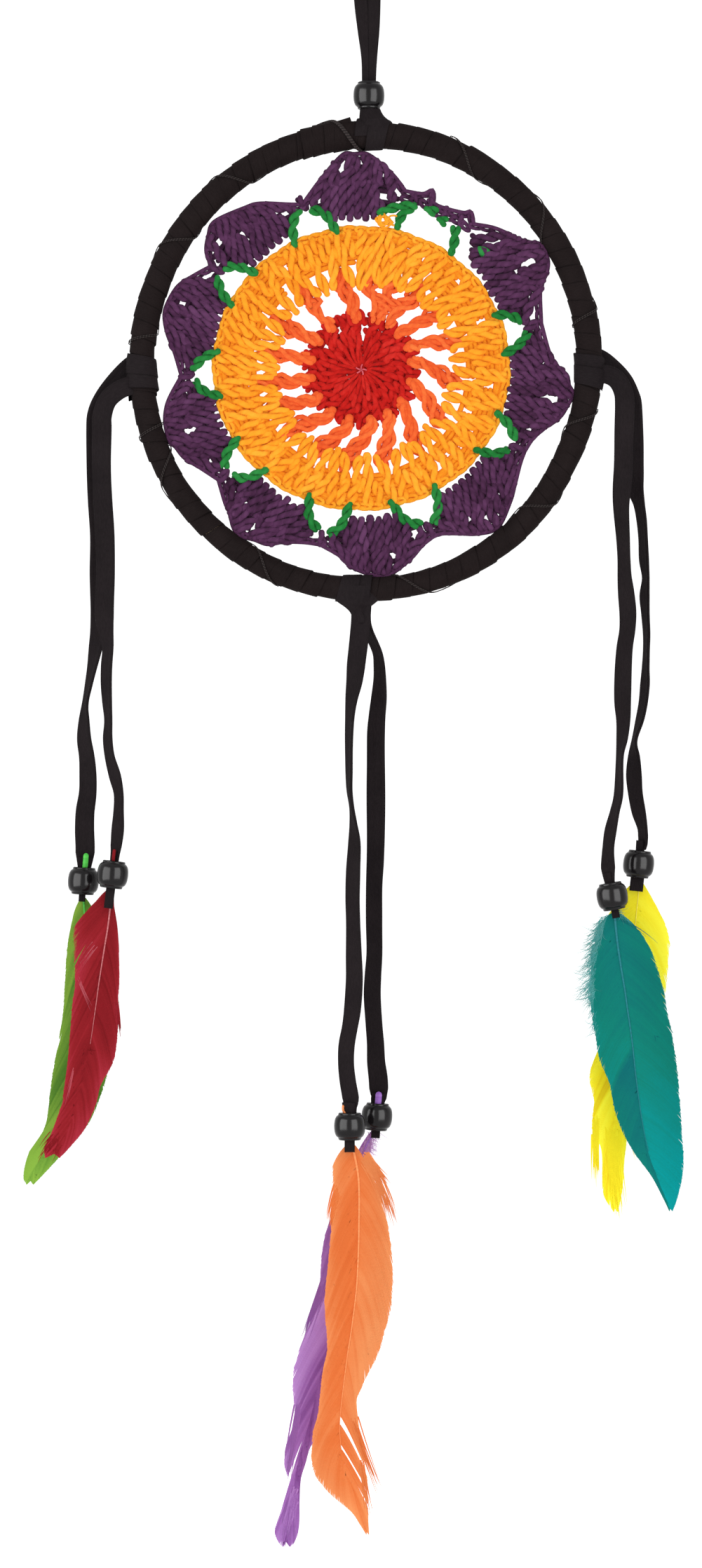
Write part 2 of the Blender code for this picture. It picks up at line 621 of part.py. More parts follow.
def main():
    looks = {
        "ribbon": material("black_ribbon", BLACK_RIBBON, 0.9),
        "bead": material("black_bead", (0.014, 0.013, 0.014), 0.3),
        "cane": material("cane", (0.5, 0.33, 0.16), 0.6),
        "thread": material("black_thread", (0.02, 0.018, 0.018), 0.6),
        "yarn_red": material("red_yarn", (0.68, 0.015, 0.01), 0.9),
        "yarn_orange": material("orange_yarn", (0.9, 0.11, 0.01), 0.9),
        "yarn_yellow": material("yellow_yarn", (1.0, 0.4, 0.015), 0.9),
        "yarn_green": material("green_yarn", (0.016, 0.22, 0.045), 0.9),
        "yarn_purple": material("purple_yarn", (0.09, 0.016, 0.11), 0.9),
    }
    for colour, value in COLOURS.items():
        looks["feather_" + colour] = material(colour + "_feather", value, 0.7)

    loop = pivot("nail", Vector())
    bead_slide = pivot("top_bead_slide", at(*TOP_BEAD), loop)
    twist = pivot("hoop_twist", at(TOP_BEAD[0], NECK["top"]), loop)
    tilt = pivot("hoop_tilt", at(0.0, HOOP_MID), twist)

    build_loop(loop, looks)
    turned_bead("top_bead", looks["bead"], at(*TOP_BEAD), 0.0, TOP_BORE, bead_slide)
    build_tie("top_tie", TOP_TIE, cone("top_neck", **NECK), twist, looks)
    build_hoop(tilt, looks)
    build_tie("left_tie", LEFT_TIE, shoulder("left_shoulder", LEFT_SHOULDER), tilt, looks)
    build_tie("right_tie", RIGHT_TIE, shoulder("right_shoulder", RIGHT_SHOULDER), tilt, looks)
    build_tie("bottom_tie", BOTTOM_TIE, cone("funnel", **FUNNEL), tilt, looks)
    build_mandala(tilt, looks)
    for name, crossings in LASHINGS.items():
        build_lashing(name, crossings, tilt, looks)
    for colour in RIBBONS:
        build_pendant(colour, tilt, looks)


clear_scene()
PARTS = collection("dream_catcher")
CUTTERS = collection("cutters")
main()
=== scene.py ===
"""How the dream catcher looks: its ribbons, beads, crochet, thread and feathers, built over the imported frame.

Sizes are in millimetres and places are (x, z) from the hoop's centre, with y as depth, as in the CAD:
at() turns them into metres. The front faces -Y.
"""

import math

import bpy
import numpy as np
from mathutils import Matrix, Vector


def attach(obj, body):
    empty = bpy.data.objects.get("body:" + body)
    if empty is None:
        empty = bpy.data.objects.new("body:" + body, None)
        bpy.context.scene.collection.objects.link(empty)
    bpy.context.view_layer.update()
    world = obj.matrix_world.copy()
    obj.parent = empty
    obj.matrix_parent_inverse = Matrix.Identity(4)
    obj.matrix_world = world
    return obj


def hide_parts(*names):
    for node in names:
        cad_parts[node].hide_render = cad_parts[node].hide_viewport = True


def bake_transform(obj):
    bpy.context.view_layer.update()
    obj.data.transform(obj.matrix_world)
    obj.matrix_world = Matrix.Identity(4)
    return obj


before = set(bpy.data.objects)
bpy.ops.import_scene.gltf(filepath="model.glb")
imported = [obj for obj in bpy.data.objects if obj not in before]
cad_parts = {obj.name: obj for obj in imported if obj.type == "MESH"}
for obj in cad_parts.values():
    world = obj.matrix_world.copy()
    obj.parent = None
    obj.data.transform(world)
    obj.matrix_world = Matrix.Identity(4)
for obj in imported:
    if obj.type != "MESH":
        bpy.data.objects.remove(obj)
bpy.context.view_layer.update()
chance = np.random.default_rng(11)

MM = 0.001
FRONT = np.array((0.0, -1.0, 0.0))

# The height of the hoop's centre, and the radius to the middle of its wound tube
HOOP_Z = -150.0
HOOP_MID = 75.6
# It isn't quite round, nor evenly wound: angle, radius to the middle of the tube, and radius of the tube
HOOP_SHAPE = (
    (0, 75.6, 4.5), (20, 75.5, 4.35), (45, 76.1, 4.15), (70, 76.6, 4.5), (100, 76.3, 4.7), (130, 75.6, 4.5),
    (160, 75.0, 4.5), (190, 75.7, 4.45), (215, 76.7, 4.15), (250, 77.2, 4.15), (285, 77.1, 4.2),
    (310, 76.6, 4.3), (335, 75.4, 4.45), (360, 75.6, 4.5))
RING_TUBE = 3.0
WINDING_PITCH = 5.9
WINDING_ENDS = (86.0, 451.0)
# One turn of it, from edge to edge: place across in half widths, and how far out in rises
TURN_SECTION = ((-1.0, -1.6), (-0.6, -0.6), (0.0, 0.0), (0.6, 0.6), (0.93, 1.0), (1.0, 0.6), (0.98, -1.2))
RIBBON_WIDTH, RIBBON_THICKNESS, RIBBON_CURL = 6.5, 1.1, 0.5
# A second layer of winding beside the top knot: from and to degrees, how far out, pitch and rise
SECOND_LAYER = (94.6, 104.5, 0.4, 3.6, 0.2)
# The flap of ribbon that ends it, as (x, z, y)
FLAP = ((-14.0, 76.4, -3.2), (-9.4, 77.6, -2.6), (-4.3, 79.2, -2.2))
# The ribbon tied round the hoop: middle angle and half width in degrees
TIES = {
    "top_tie": (88.4, 4.6), "left_tie": (183.8, 5.8),
    "bottom_tie": (267.7, 5.3), "right_tie": (-1.9, 5.5),
}
# Where ribbon is drawn together above and below the hoop: height, left edge and right edge
GATHERS = {
    "top_tie": ((85.0, -1.8, 4.9), (84.0, -1.9, 5.3), (82.6, -2.0, 6.2), (81.6, -2.1, 7.3), (80.4, -2.6, 8.8),
                (77.0, -4.4, 9.4)),
    "bottom_tie": ((-76.0, -11.0, 5.6), (-79.6, -10.8, 5.2), (-81.4, -9.4, 3.4), (-83.1, -7.0, 1.5),
                   (-84.6, -5.4, 0.9), (-86.2, -4.6, 1.4), (-88.5, -4.2, 1.6)),
}

# The hanging loop: where the bead is, and the way of its ribbon from the knot up to the nail and back, as
# (x, z, width). It is folded narrow in the bead and opens flat above it
TOP_BEAD = (1.2, 89.6)
LOOP_WIDTH, LOOP_DIAMETER = 2.4, 2.6
LOOP_ROUTE = (
    (2.3, 85.4, 2.5), (2.3, 96.0, 2.7), (2.5, 103.0, 3.1), (2.8, 112.0, 4.0), (2.9, 121.0, 4.5),
    (3.1, 136.0, 4.6), (3.2, 147.0, 4.6), (2.3, 149.9, 4.6), (0.0, 151.1, 4.6), (-2.3, 149.9, 4.6),
    (-3.2, 147.0, 4.6), (-2.6, 136.0, 4.6), (-1.4, 121.0, 4.7), (-0.7, 112.0, 4.0), (0.0, 103.0, 2.9),
    (0.1, 96.0, 2.6), (0.0, 85.4, 2.5))

# The pendants' ribbons hang in two rows, this deep at their ties and at their beads
BACK_ROW, FRONT_ROW = 1, -1
TIE_DEPTH, BEAD_DEPTH = 2.2, 5.6
# How far a swing's bend reaches up and down, and how far above its bead each ribbon is pinched
RIBBON_BEND, RIBBON_PINCH = 5.0, 7.0
# How each leaves its tie, as (x, z)
SHOULDERS = {
    "green": ((-75.0, 1.0), (-79.4, -1.6), (-84.6, -7.1), (-88.7, -12.8), (-90.8, -17.8)),
    "red": ((-75.5, -8.0), (-79.5, -8.6), (-83.3, -10.2), (-87.0, -13.6), (-88.7, -18.6)),
    "orange": ((-2.0, -76.0), (-1.7, -82.0)),
    "violet": ((0.4, -76.0), (0.2, -82.0)),
    "teal": ((76.0, -5.4), (80.6, -4.6), (84.6, -6.4), (86.9, -10.4)),
    "yellow": ((75.0, 1.4), (79.0, 1.0), (83.4, -2.4), (87.2, -6.6), (89.6, -11.6)),
}
# Each ribbon's way down: x, z, and degrees that it turns about its own length, away from facing front
RIBBONS = {
    "green": (BACK_ROW, (
        (-91.2, -23.2, 0), (-91.0, -35, 5), (-90.6, -48, 5), (-89.9, -60, 5), (-90.0, -72, 5),
        (-89.9, -84.5, 12), (-90.4, -91, 30), (-91.3, -96.8, 45), (-92.4, -103, 60), (-93.6, -109.1, 68),
        (-94.8, -115.3, 73), (-95.2, -121.4, 56), (-95.2, -127.6, 42), (-94.3, -133.7, 35),
        (-93.9, -140, 22), (-94.0, -146, 16), (-94.9, -152.2, 0), (-95.1, -158.4, 0), (-94.9, -164.5, 5))),
    "red": (FRONT_ROW, (
        (-88.8, -23.2, 0), (-88.9, -35, 5), (-88.4, -48, 5), (-87.7, -60, 5), (-87.5, -72, 5),
        (-87.9, -84.5, 8), (-87.4, -91, 35), (-86.7, -96.8, 54), (-87.1, -103, 54), (-87.2, -109, 56),
        (-86.9, -115.3, 62), (-86.5, -121.4, 68), (-86.7, -127.6, 62), (-86.0, -133.7, 60),
        (-84.3, -140, 52), (-83.0, -146, 62), (-83.0, -152, 60), (-83.3, -158.4, 50), (-83.9, -164.5, 56))),
    "orange": (FRONT_ROW, (
        (-1.5, -87.2, 0), (-2.3, -95.4, 0), (-3.0, -101.5, 8), (-3.6, -107.7, 30), (-4.6, -113.9, 54),
        (-5.2, -120, 66), (-5.5, -128, 70), (-5.5, -138.5, 74), (-5.4, -145, 80), (-4.7, -150.8, 84),
        (-4.0, -156.9, 70), (-3.7, -163, 52), (-4.1, -172, 45), (-4.3, -181.5, 46), (-4.1, -190, 44),
        (-3.9, -200, 34), (-3.7, -209, 30), (-4.3, -218.5, 28), (-5.2, -224.6, 34), (-6.3, -230.8, 32),
        (-6.5, -237, 36), (-5.9, -243, 34), (-4.9, -249, 30))),
    "violet": (BACK_ROW, (
        (0.0, -87.2, 60), (0.9, -91, 64), (3.0, -95.6, 66), (4.2, -98.8, 64), (4.7, -102.5, 58),
        (4.9, -107.7, 52), (4.6, -113.9, 38), (4.0, -120, 30), (3.6, -127, 18), (3.6, -140, 16),
        (3.6, -158, 16), (3.4, -169, 24), (3.0, -178, 34), (3.0, -190, 30), (3.1, -200, 34),
        (2.6, -208, 32), (2.4, -215, 28), (3.0, -224.6, 26), (3.5, -231, 24), (3.7, -237, 20),
        (4.4, -243, 10), (4.6, -249, 10))),
    "teal": (FRONT_ROW, (
        (87.4, -15.2, 0), (87.1, -25, 0), (86.9, -36, 4), (86.4, -44, 24), (86.2, -50, 40), (86.8, -60, 50),
        (87.1, -67, 54), (87.3, -73, 50), (87.8, -78.3, 38), (88.4, -85, 32), (88.2, -91, 36),
        (87.3, -97, 34), (86.8, -105, 32), (86.6, -115, 34), (86.8, -121.4, 48), (86.4, -127.6, 60),
        (85.6, -134, 76), (85.2, -146, 70), (83.9, -152.2, 68), (82.5, -158.4, 58), (81.7, -164.5, 60),
        (81.6, -170.7, 50))),
    "yellow": (BACK_ROW, (
        (90.4, -15.2, 0), (90.8, -26, 0), (90.9, -36, 6), (91.4, -43, 34), (92.6, -48, 60), (93.5, -53.7, 66),
        (94.0, -60, 70), (94.3, -67, 68), (94.9, -73, 76), (94.5, -79, 66), (94.8, -85, 73), (95.2, -92, 78),
        (95.1, -98, 80), (94.9, -104, 75), (94.7, -109, 68), (94.1, -115.3, 70), (92.9, -121.4, 73),
        (91.1, -128, 84), (91.0, -133.7, 58), (91.0, -140, 37), (91.5, -146, 45), (92.6, -152.2, 50),
        (94.0, -158.4, 68), (94.0, -164, 62))),
}
# Under each ribbon: the bead's centre, how far its top leans to +X in degrees, how far below that centre the
# ribbon's cut tail ends, and the tail's width
BEADS = {
    "green": (-95.5, -175.7, 4.0, -7.0, 2.3),
    "red": (-85.0, -173.3, 7.0, -11.4, 3.1),
    "orange": (-5.3, -258.0, 0.0, -8.6, 3.5),
    "violet": (3.9, -255.6, 4.0, -7.2, 3.0),
    "teal": (83.0, -180.6, -10.0, -7.4, 2.6),
    "yellow": (92.6, -170.0, 6.0, -9.2, 4.6),
}
BEAD_HEIGHT = 9.2
TOP_BORE, PENDANT_BORE = 2.7, 2.4

# The crocheted mandala. The gaps between its orange spokes: radius and angle of the inner end, radius and
# angle of the outer end, and width
MANDALA = (-1.4, -2.4)
SAG = 0.6
SPOKE_GAPS = (
    (21.2, -160.4, 28.0, -162.6, 2.2), (20.7, -138.0, 26.7, -147.9, 2.2), (20.8, -118.0, 27.7, -126.0, 3.0),
    (21.4, -95.2, 27.3, -106.0, 2.7), (20.9, -72.0, 28.1, -86.2, 3.4), (19.6, -52.5, 28.1, -61.2, 3.4),
    (19.2, -30.0, 28.1, -41.6, 4.4), (19.1, -3.6, 28.5, -16.9, 4.6), (20.4, 15.4, 29.8, 6.6, 4.5),
    (19.6, 32.2, 29.5, 29.0, 2.7), (19.6, 51.4, 29.0, 45.8, 3.0), (26.4, 64.2, 29.2, 64.2, 2.9),
    (25.8, 76.7, 28.3, 76.7, 1.6), (19.6, 80.4, 26.9, 90.4, 3.4), (20.0, 115.0, 27.3, 114.2, 7.2),
    (19.9, 136.0, 28.4, 138.4, 4.4), (20.9, 158.4, 27.4, 160.2, 3.5), (21.3, 179.2, 27.5, 178.6, 3.9))
# The step along a strand. Two strands twisted into a post lie this many radii from its middle, once they have
# opened out over this length
YARN_STEP = 0.8
PLY_REACH, PLY_OPENING = 0.95, 1.6
# The hidden strands behind the posts: depth, and a dark tone that paints shade into the chinks and grooves
# between the posts
BACKING_DEPTH, BACKING_PAINTED_SHADE = 0.6, 0.08
# The spokes' strands, and the length of one twist
SPOKE_STRAND, SPOKE_TWIST = 0.86, 17.0
# The yarn that fills the spokes' gap at the upper right: radius, and from and to degrees
FILLED_GAP = ((23.0, 60.0, 78.0), (25.2, 58.0, 80.0), (21.0, 66.0, 78.0))
# The red rounds: how many posts, inner and outer radius, strand radius at the two ends, slant and first angle
# in degrees, and length of half a twist
RED_ROUNDS = (
    (19, 1.6, 10.2, (0.42, 0.92), 3.0, 0.0, 7.5), (20, 8.8, 13.8, (0.88, 0.92), 10.0, 6.0, 4.0),
    (25, 12.4, 16.8, (0.9, 0.92), -9.0, 2.0, 4.0), (30, 15.8, 19.3, (0.92, 0.92), 7.0, 5.0, 4.0))
RED_BACKINGS = (1.0, 2.5, 4.2, 6.0, 7.6, 9.2, 10.8, 12.4, 14.0, 15.6, 17.2)
YELLOW_BACKINGS = (36.2, 37.8, 39.4, 41.0, 42.6, 44.2, 45.8)
# Small gaps left in the crochet: angle, inner and outer radius, width
RED_HOLES = (
    (85.7, 8.4, 15.2, 1.9), (62.4, 13.4, 14.8, 1.6), (147, 13.0, 14.4, 1.5), (10.4, 15.1, 16.6, 1.4),
    (119, 14.2, 15.2, 0.9), (-40, 15.7, 16.8, 0.9))
YELLOW_HOLES = (
    (132.3, 33.8, 37.4, 1.9), (127.1, 39.9, 42.5, 1.4), (150.9, 34.6, 37.8, 1.3), (170.2, 34.9, 38.3, 1.2),
    (-170.5, 34.6, 38.6, 1.2), (91.5, 32.1, 35.9, 1.5), (54.2, 36.6, 39.2, 1.5), (60.4, 42.4, 44.0, 1.1),
    (67.9, 43.7, 44.9, 1.0), (41.4, 43.6, 45.8, 1.9), (30.6, 44.0, 45.4, 1.2), (21.1, 42.1, 45.0, 1.5),
    (17.7, 35.2, 37.4, 1.5), (1.5, 37.5, 39.7, 0.9), (-6.6, 34.6, 39.4, 1.8), (-7.6, 41.2, 43.8, 1.1),
    (-21.4, 37.9, 40.0, 0.9), (-28.9, 33.6, 38.8, 2.1), (-29.6, 42.1, 43.7, 1.1), (-37.8, 42.0, 43.5, 1.1),
    (-44.3, 40.6, 42.0, 1.4), (-51.5, 34.4, 42.6, 1.9), (-73.3, 33.6, 36.2, 1.1), (-84.7, 33.2, 35.2, 1.1),
    (-94.7, 33.5, 36.5, 1.9), (-114.5, 34.2, 37.0, 1.6))
PETAL_HOLES = (
    (95.3, 68.3, 70.6, 1.6), (90.6, 69.4, 71.0, 1.5), (83.0, 58.4, 64.0, 2.8), (83.6, 65.0, 66.4, 1.3),
    (116.4, 58.2, 60.2, 1.6), (131.0, 57.8, 61.8, 1.6), (138.6, 63.2, 65.4, 1.7), (150.0, 60.5, 62.0, 1.4),
    (160.0, 63.0, 65.4, 1.9), (188.0, 61.6, 63.4, 1.4), (200.0, 60.6, 62.6, 1.7), (212.0, 59.6, 61.2, 1.4),
    (224.0, 60.6, 62.2, 1.4), (229.2, 59.2, 61.4, 1.9), (236.3, 64.0, 65.8, 1.5), (255.1, 57.8, 60.4, 2.2),
    (263.0, 61.6, 63.4, 1.3), (269.5, 59.2, 61.2, 1.7), (279.8, 63.4, 65.4, 1.9), (288.0, 58.6, 60.6, 1.4),
    (299.0, 60.0, 61.6, 1.3), (305.2, 62.2, 64.2, 1.7), (309.8, 65.5, 67.3, 1.5), (317.0, 61.8, 63.6, 1.3),
    (340.0, 60.6, 62.4, 1.3), (350.6, 61.8, 68.0, 2.3), (359.0, 59.6, 61.8, 1.4), (17.5, 58.4, 60.2, 1.5),
    (23.0, 60.0, 61.6, 1.4), (32.0, 62.5, 69.0, 2.3), (43.0, 60.0, 62.0, 1.4))
# The side of a petal: radii, and how many degrees from the valley it has been left behind there
PETAL_FLANK = ((50.4, 53.5, 57.5, 60.5), (8.6, 6.0, 2.6, 0.6))
# Each petal's outer edge from one valley to the next, as (angle, radius), and the angle of its tip
PETALS = (
    (((145.7, 62.0), (151, 65.3), (156, 68.6), (162, 69.8), (165.5, 69.4), (170, 67.2), (175, 64.1),
      (182.5, 61.5)), 162),
    (((182.5, 61.5), (188.5, 66.0), (192, 68.2), (196, 69.6), (201, 70.1), (203, 68.9), (207, 67.7),
      (212, 64.6), (218, 62.0)), 199),
    (((218, 62.0), (221, 63.4), (225, 65.6), (228, 67.0), (231, 69.6), (234, 70.8), (238, 69.1),
      (242, 68.2), (246, 65.1), (252, 62.7), (257, 62.0)), 233.5),
    (((257, 62.0), (263.5, 64.6), (267, 67.9), (273, 70.8), (277, 71.5), (280, 70.1), (285, 67.0),
      (289, 64.1), (293, 62.7)), 276),
    (((293, 62.7), (296, 63.0), (301, 66.0), (305, 69.1), (310.5, 71.7), (318, 68.4), (323, 65.8),
      (329, 63.4), (333, 62.7)), 310),
    (((333, 62.7), (337.5, 63.4), (342, 66.0), (346, 69.8), (350, 71.7), (353, 72.9), (355.5, 71.0),
      (358, 70.3), (361, 66.5), (365, 64.4), (374, 63.4)), 352),
    (((374, 63.4), (384, 67.0), (387, 71.0), (390, 73.6), (394, 74.6), (395.5, 73.6), (398, 70.5),
      (406, 66.3), (412, 62.5)), 393.5),
    (((412, 62.5), (415, 65.3), (417, 63.4), (426, 61.5), (428, 65.6), (430.5, 63.2),
      (436, 62.4)), 422),
    (((436, 62.4), (441, 67.2), (448, 72.9), (452, 73.1), (455, 73.1), (462, 66.0), (469.6, 59.6)),
     451),
    (((469.6, 59.6), (473, 60.8), (481.5, 66.0), (486, 67.7), (495, 70.8), (499, 69.1), (503, 66.3),
      (505.7, 62.0)), 495),
)
SLACK_PETAL = 7
# A petal's posts: their spacing in degrees, how far they lean to its tip, and the depth of petal that takes
# two rows of them. Then its backing strands' radii
POST_SPACING, TIP_PULL, TWO_ROWS = 3.2, 0.45, 11.0
PETAL_BACKINGS = np.arange(52.8, 71.0, 1.9)
# The green legs: radii of the middle and the top, and degrees from the valley at the foot, middle and top
LEG_RADII, LEG_SPREAD = (53.4, 57.0), (8.6, 5.9, 2.4)
# The green stitches beside the slack petal, as (radius, angle) from one end to the other
SLACK_LEGS = (
    ((49.0, 51.8), (53.0, 53.6), (57.0, 56.0)), ((48.8, 75.6), (53.0, 75.2), (56.6, 73.0)),
    ((52.6, 83.4), (55.4, 78.0), (57.8, 71.8)), ((58.0, 67.8), (58.3, 64.6)), ((56.6, 62.4), (56.9, 60.2)),
    ((56.6, 45.2), (57.2, 42.6)))

# The lashing thread: where it crosses the front of the hoop, as angles at the inner and the outer side
LASHINGS = {
    "top_left": ((91.0, 98.6), (121.8, 130.2), (143.4, 151.6), (172.6, 175.6)),
    "left_bottom": ((197.0, 199.0), (203.6, 212.6), (238.6, 248.6)),
    "bottom_right": ((276.6, 287.0), (315.6, 323.8), (341.0, 348.0)),
    "right_top": ((9.5, 13.0), (33.0, 43.2), (58.4, 69.0)),
}
# The thread is thicker where it crosses beside the top knot, up to this angle
THICK_LASHING_END = 104.0

# The feathers: height from the bead's centre, left edge, rachis and right edge
FEATHERS = {
    "green": (
        (-5, -1.6, -0.2, 1.0), (-7, -2.2, 0.0, 1.6), (-13, -3.7, 0.4, 4.4), (-22, -5.5, 1.0, 8.6),
        (-34, -6.4, 1.5, 10.6), (-46, -7.2, 1.2, 10.8), (-57, -9.0, 0.2, 9.4), (-69, -11.1, -3.0, 7.0),
        (-81, -12.5, -6.6, 2.4), (-87, -14.8, -9.4, -2.0), (-92, -18.4, -12.8, -6.6),
        (-97, -20.0, -16.0, -11.2), (-101, -20.4, -17.8, -15.0), (-103, -19.4, -18.2, -17.0)),
    "red": (
        (-4, -0.6, -0.2, 0.2), (-6.6, -2.4, -0.5, 0.2), (-12.5, -8.1, -1.0, 0.2), (-15.5, -11.2, -1.4, 0.4),
        (-18, -12.9, -1.7, 0.8), (-24, -13.1, -2.7, 1.9), (-36, -12.9, -4.6, 2.2), (-42, -13.4, -5.4, 1.8),
        (-54, -14.4, -7.1, 1.6), (-63, -15.2, -8.6, 0.2), (-71, -16.2, -10.4, -4.0),
        (-78, -17.4, -12.2, -5.9), (-86, -20.2, -14.8, -9.6), (-92, -23.0, -18.6, -14.6),
        (-95.4, -22.8, -20.8, -17.9)),
    "orange": (
        (-5, -1.6, 0.4, 2.2), (-8, -4.4, 1.2, 2.8), (-12, -5.8, 2.2, 5.0), (-16, -5.7, 2.8, 7.4),
        (-20, -5.6, 3.1, 9.0), (-24, -5.8, 3.2, 10.2), (-28, -6.2, 3.2, 11.4), (-34, -6.3, 3.1, 13.0),
        (-44, -7.1, 2.9, 14.3), (-56, -8.4, 2.2, 14.3), (-64, -8.2, 1.2, 13.2), (-70, -7.7, 0.4, 11.5),
        (-76, -7.6, -0.6, 9.8), (-82, -9.0, -1.3, 6.9), (-88, -9.7, -2.2, 4.1), (-92, -10.1, -2.6, 2.4),
        (-97, -10.6, -3.2, 2.3), (-103, -12.3, -3.4, 3.3), (-108, -12.8, -3.0, 3.8), (-113, -12.8, -2.0, 4.8),
        (-118, -11.2, -0.4, 5.8), (-124, -6.3, 2.0, 6.2), (-130, 0.6, 4.0, 6.2), (-134, 3.4, 5.0, 6.3),
        (-137.5, 5.6, 6.0, 6.5)),
    "violet": (
        (-5, -2.6, -1.8, -1.0), (-12, -6.4, -4.2, -2.4), (-18, -9.0, -6.0, -3.4), (-30, -14.0, -8.6, -3.0),
        (-43, -18.1, -10.0, -2.0), (-56, -19.3, -12.6, -2.4), (-64, -19.5, -14.0, -4.0),
        (-70, -21.6, -15.0, -5.4), (-76, -24.8, -16.2, -7.0), (-84, -27.9, -18.0, -8.6),
        (-92, -28.6, -19.8, -10.4), (-100, -27.9, -21.6, -13.0), (-106, -28.7, -23.2, -17.4),
        (-112, -30.8, -25.0, -22.4), (-118, -31.4, -26.6, -24.3), (-122, -30.3, -27.4, -25.6),
        (-126, -29.5, -27.8, -26.4), (-132, -31.3, -28.6, -26.5), (-137, -33.3, -29.6, -26.6),
        (-141, -34.6, -30.4, -26.7), (-144.5, -33.4, -30.8, -28.0), (-146, -31.8, -30.6, -29.4)),
    "teal": (
        (-5, -1.2, 0.8, 2.4), (-7.6, -3.9, 1.0, 5.4), (-11.5, -5.0, 1.3, 8.8), (-15.5, -5.9, 1.8, 11.6),
        (-20, -7.0, 2.4, 13.8), (-27, -7.4, 3.5, 16.0), (-33, -7.5, 4.5, 17.7), (-39, -7.2, 5.3, 18.5),
        (-47, -5.8, 6.5, 20.1), (-55, -4.3, 7.4, 21.3), (-63, -1.0, 8.3, 22.2), (-71, 0.5, 9.4, 22.8),
        (-79, 3.3, 10.7, 23.3), (-87, 7.8, 12.6, 23.9), (-94.5, 13.4, 15.4, 23.6), (-102, 17.4, 18.4, 21.9),
        (-106, 19.3, 19.8, 20.4)),
    "yellow": (
        (-5, -0.8, 0.2, 1.0), (-10, -5.0, 0.0, 2.4), (-14, -8.0, -0.4, 5.4), (-18, -10.4, -0.8, 7.8),
        (-22, -11.6, -1.1, 9.7), (-27, -12.4, -1.5, 10.8), (-34, -12.4, -2.0, 10.3), (-42, -12.4, -2.6, 9.6),
        (-52, -12.2, -3.6, 8.2), (-62, -13.0, -4.8, 4.6), (-69, -15.9, -5.6, 3.0), (-74, -16.5, -6.4, 1.6),
        (-80, -15.0, -7.2, -0.4), (-86, -15.6, -7.8, -2.2), (-91, -15.4, -8.4, -3.8),
        (-96, -12.8, -8.8, -4.2), (-101, -12.2, -9.0, -4.8), (-108, -12.2, -9.2, -5.2),
        (-113, -11.6, -8.8, -5.9), (-118, -8.4, -7.6, -7.0)),
}
# How each feather grows: how far its barbs sweep down, how often they part, how streaky they are, the tones
# of the left and right vane as (share, tone) down the rachis, which hold the dye's own changes and painted
# shade too, such as the dark bands where the teal and yellow vanes fold and the darker inner side of the
# green beside the red, how much lighter its edge is painted, as light shining through the thin barbs, the
# share of the rachis that shows with its thickness, and where barbs are missing, as (side, from share, to
# share)
HABITS = {
    "green": dict(sweep=0.3, parts=0.08, streaks=0.08, edge=0.2,
                  left=((0, 0.9), (0.2, 0.65), (0.5, 0.4), (0.8, 0.95), (1, 0.7)),
                  right=((0, 0.6), (0.5, 0.2), (1, 0.8)), rachis=(0.9, 0.3), slits=()),
    "red": dict(sweep=0.28, parts=0.06, streaks=0.08, left=((0, 0.35), (0.2, 0.5), (0.22, 0.3), (1, 0.45)),
                right=((0, 0.3), (1, 0.5)), edge=0.3, rachis=(0.58, 0.34), slits=()),
    "orange": dict(sweep=0.24, parts=0.05, streaks=0.05, left=((0, 0.7), (0.14, 0.4), (1, 0.6)),
                   right=((0, 0.55), (0.3, 0.75), (0.6, 0.7), (0.75, 0.5), (1, 0.65)), edge=0.3,
                   rachis=(0.78, 0.4), slits=((1, 0.695, 0.72), (1, 0.765, 0.785), (1, 0.81, 0.822))),
    "violet": dict(sweep=0.24, parts=0.25, streaks=0.12, edge=0.2,
                   left=((0, 0.4), (0.33, 0.4), (0.35, 0.75), (0.5, 0.6), (0.53, 0.3), (0.8, 0.5), (1, 0.15)),
                   right=((0, 0.3), (1, 0.25)), rachis=(0.5, 0.3), slits=((-1, 0.70, 0.715),)),
    "teal": dict(sweep=0.2, parts=0.0, streaks=0.025, edge=0.04,
                 left=((0, 0.35), (0.3, 0.42), (0.45, 0.52), (0.48, 0.22), (1, 0.32)),
                 right=((0, 0.36), (0.4, 0.5), (1, 0.95)), rachis=(0.8, 0.42), slits=((1, 0.93, 0.938),)),
    "yellow": dict(sweep=0.24, parts=0.15, streaks=0.1, right=((0, 0.75), (1, 0.5)), edge=0.2,
                   left=((0, 0.6), (0.45, 0.6), (0.58, 0.2), (0.6, 0.7), (0.8, 0.3), (1, 0.5)),
                   rachis=(0.3, 0.16), slits=()),
}
# The quills' tips that show above the beads: place across, rise, radius and depth from the bead's axis
QUILL_TIPS = {
    "green": (0.4, 4.0, 0.9, -2.6), "red": (-0.3, 3.5, 0.55, -2.4), "orange": (-2.2, 2.2, 0.4, -0.6),
    "violet": (0.1, 3.0, 1.1, -2.6), "teal": (0.0, 1.0, 0.5, 1.5), "yellow": (0.0, 1.0, 0.5, 1.5),
}
# Fluff along an edge: from and to which height, the edge's column in FEATHERS, how many barbs, their heading
# in degrees from straight down to +X, their length, and how pale they are
FLUFF = {
    "violet": ((-4.0, -13.0, 1, 90, 12.0, 6.0, 0.7), (-4.0, -12.0, 3, 50, 30.0, 4.0, 0.7)),
    "teal": ((-6.0, -34.0, 1, 260, -42.0, 7.0, 0.45), (-6.0, -46.0, 1, 140, -30.0, 4.0, 0.2),
             (-3.0, -8.0, 3, 30, 40.0, 4.0, 0.4)),
}
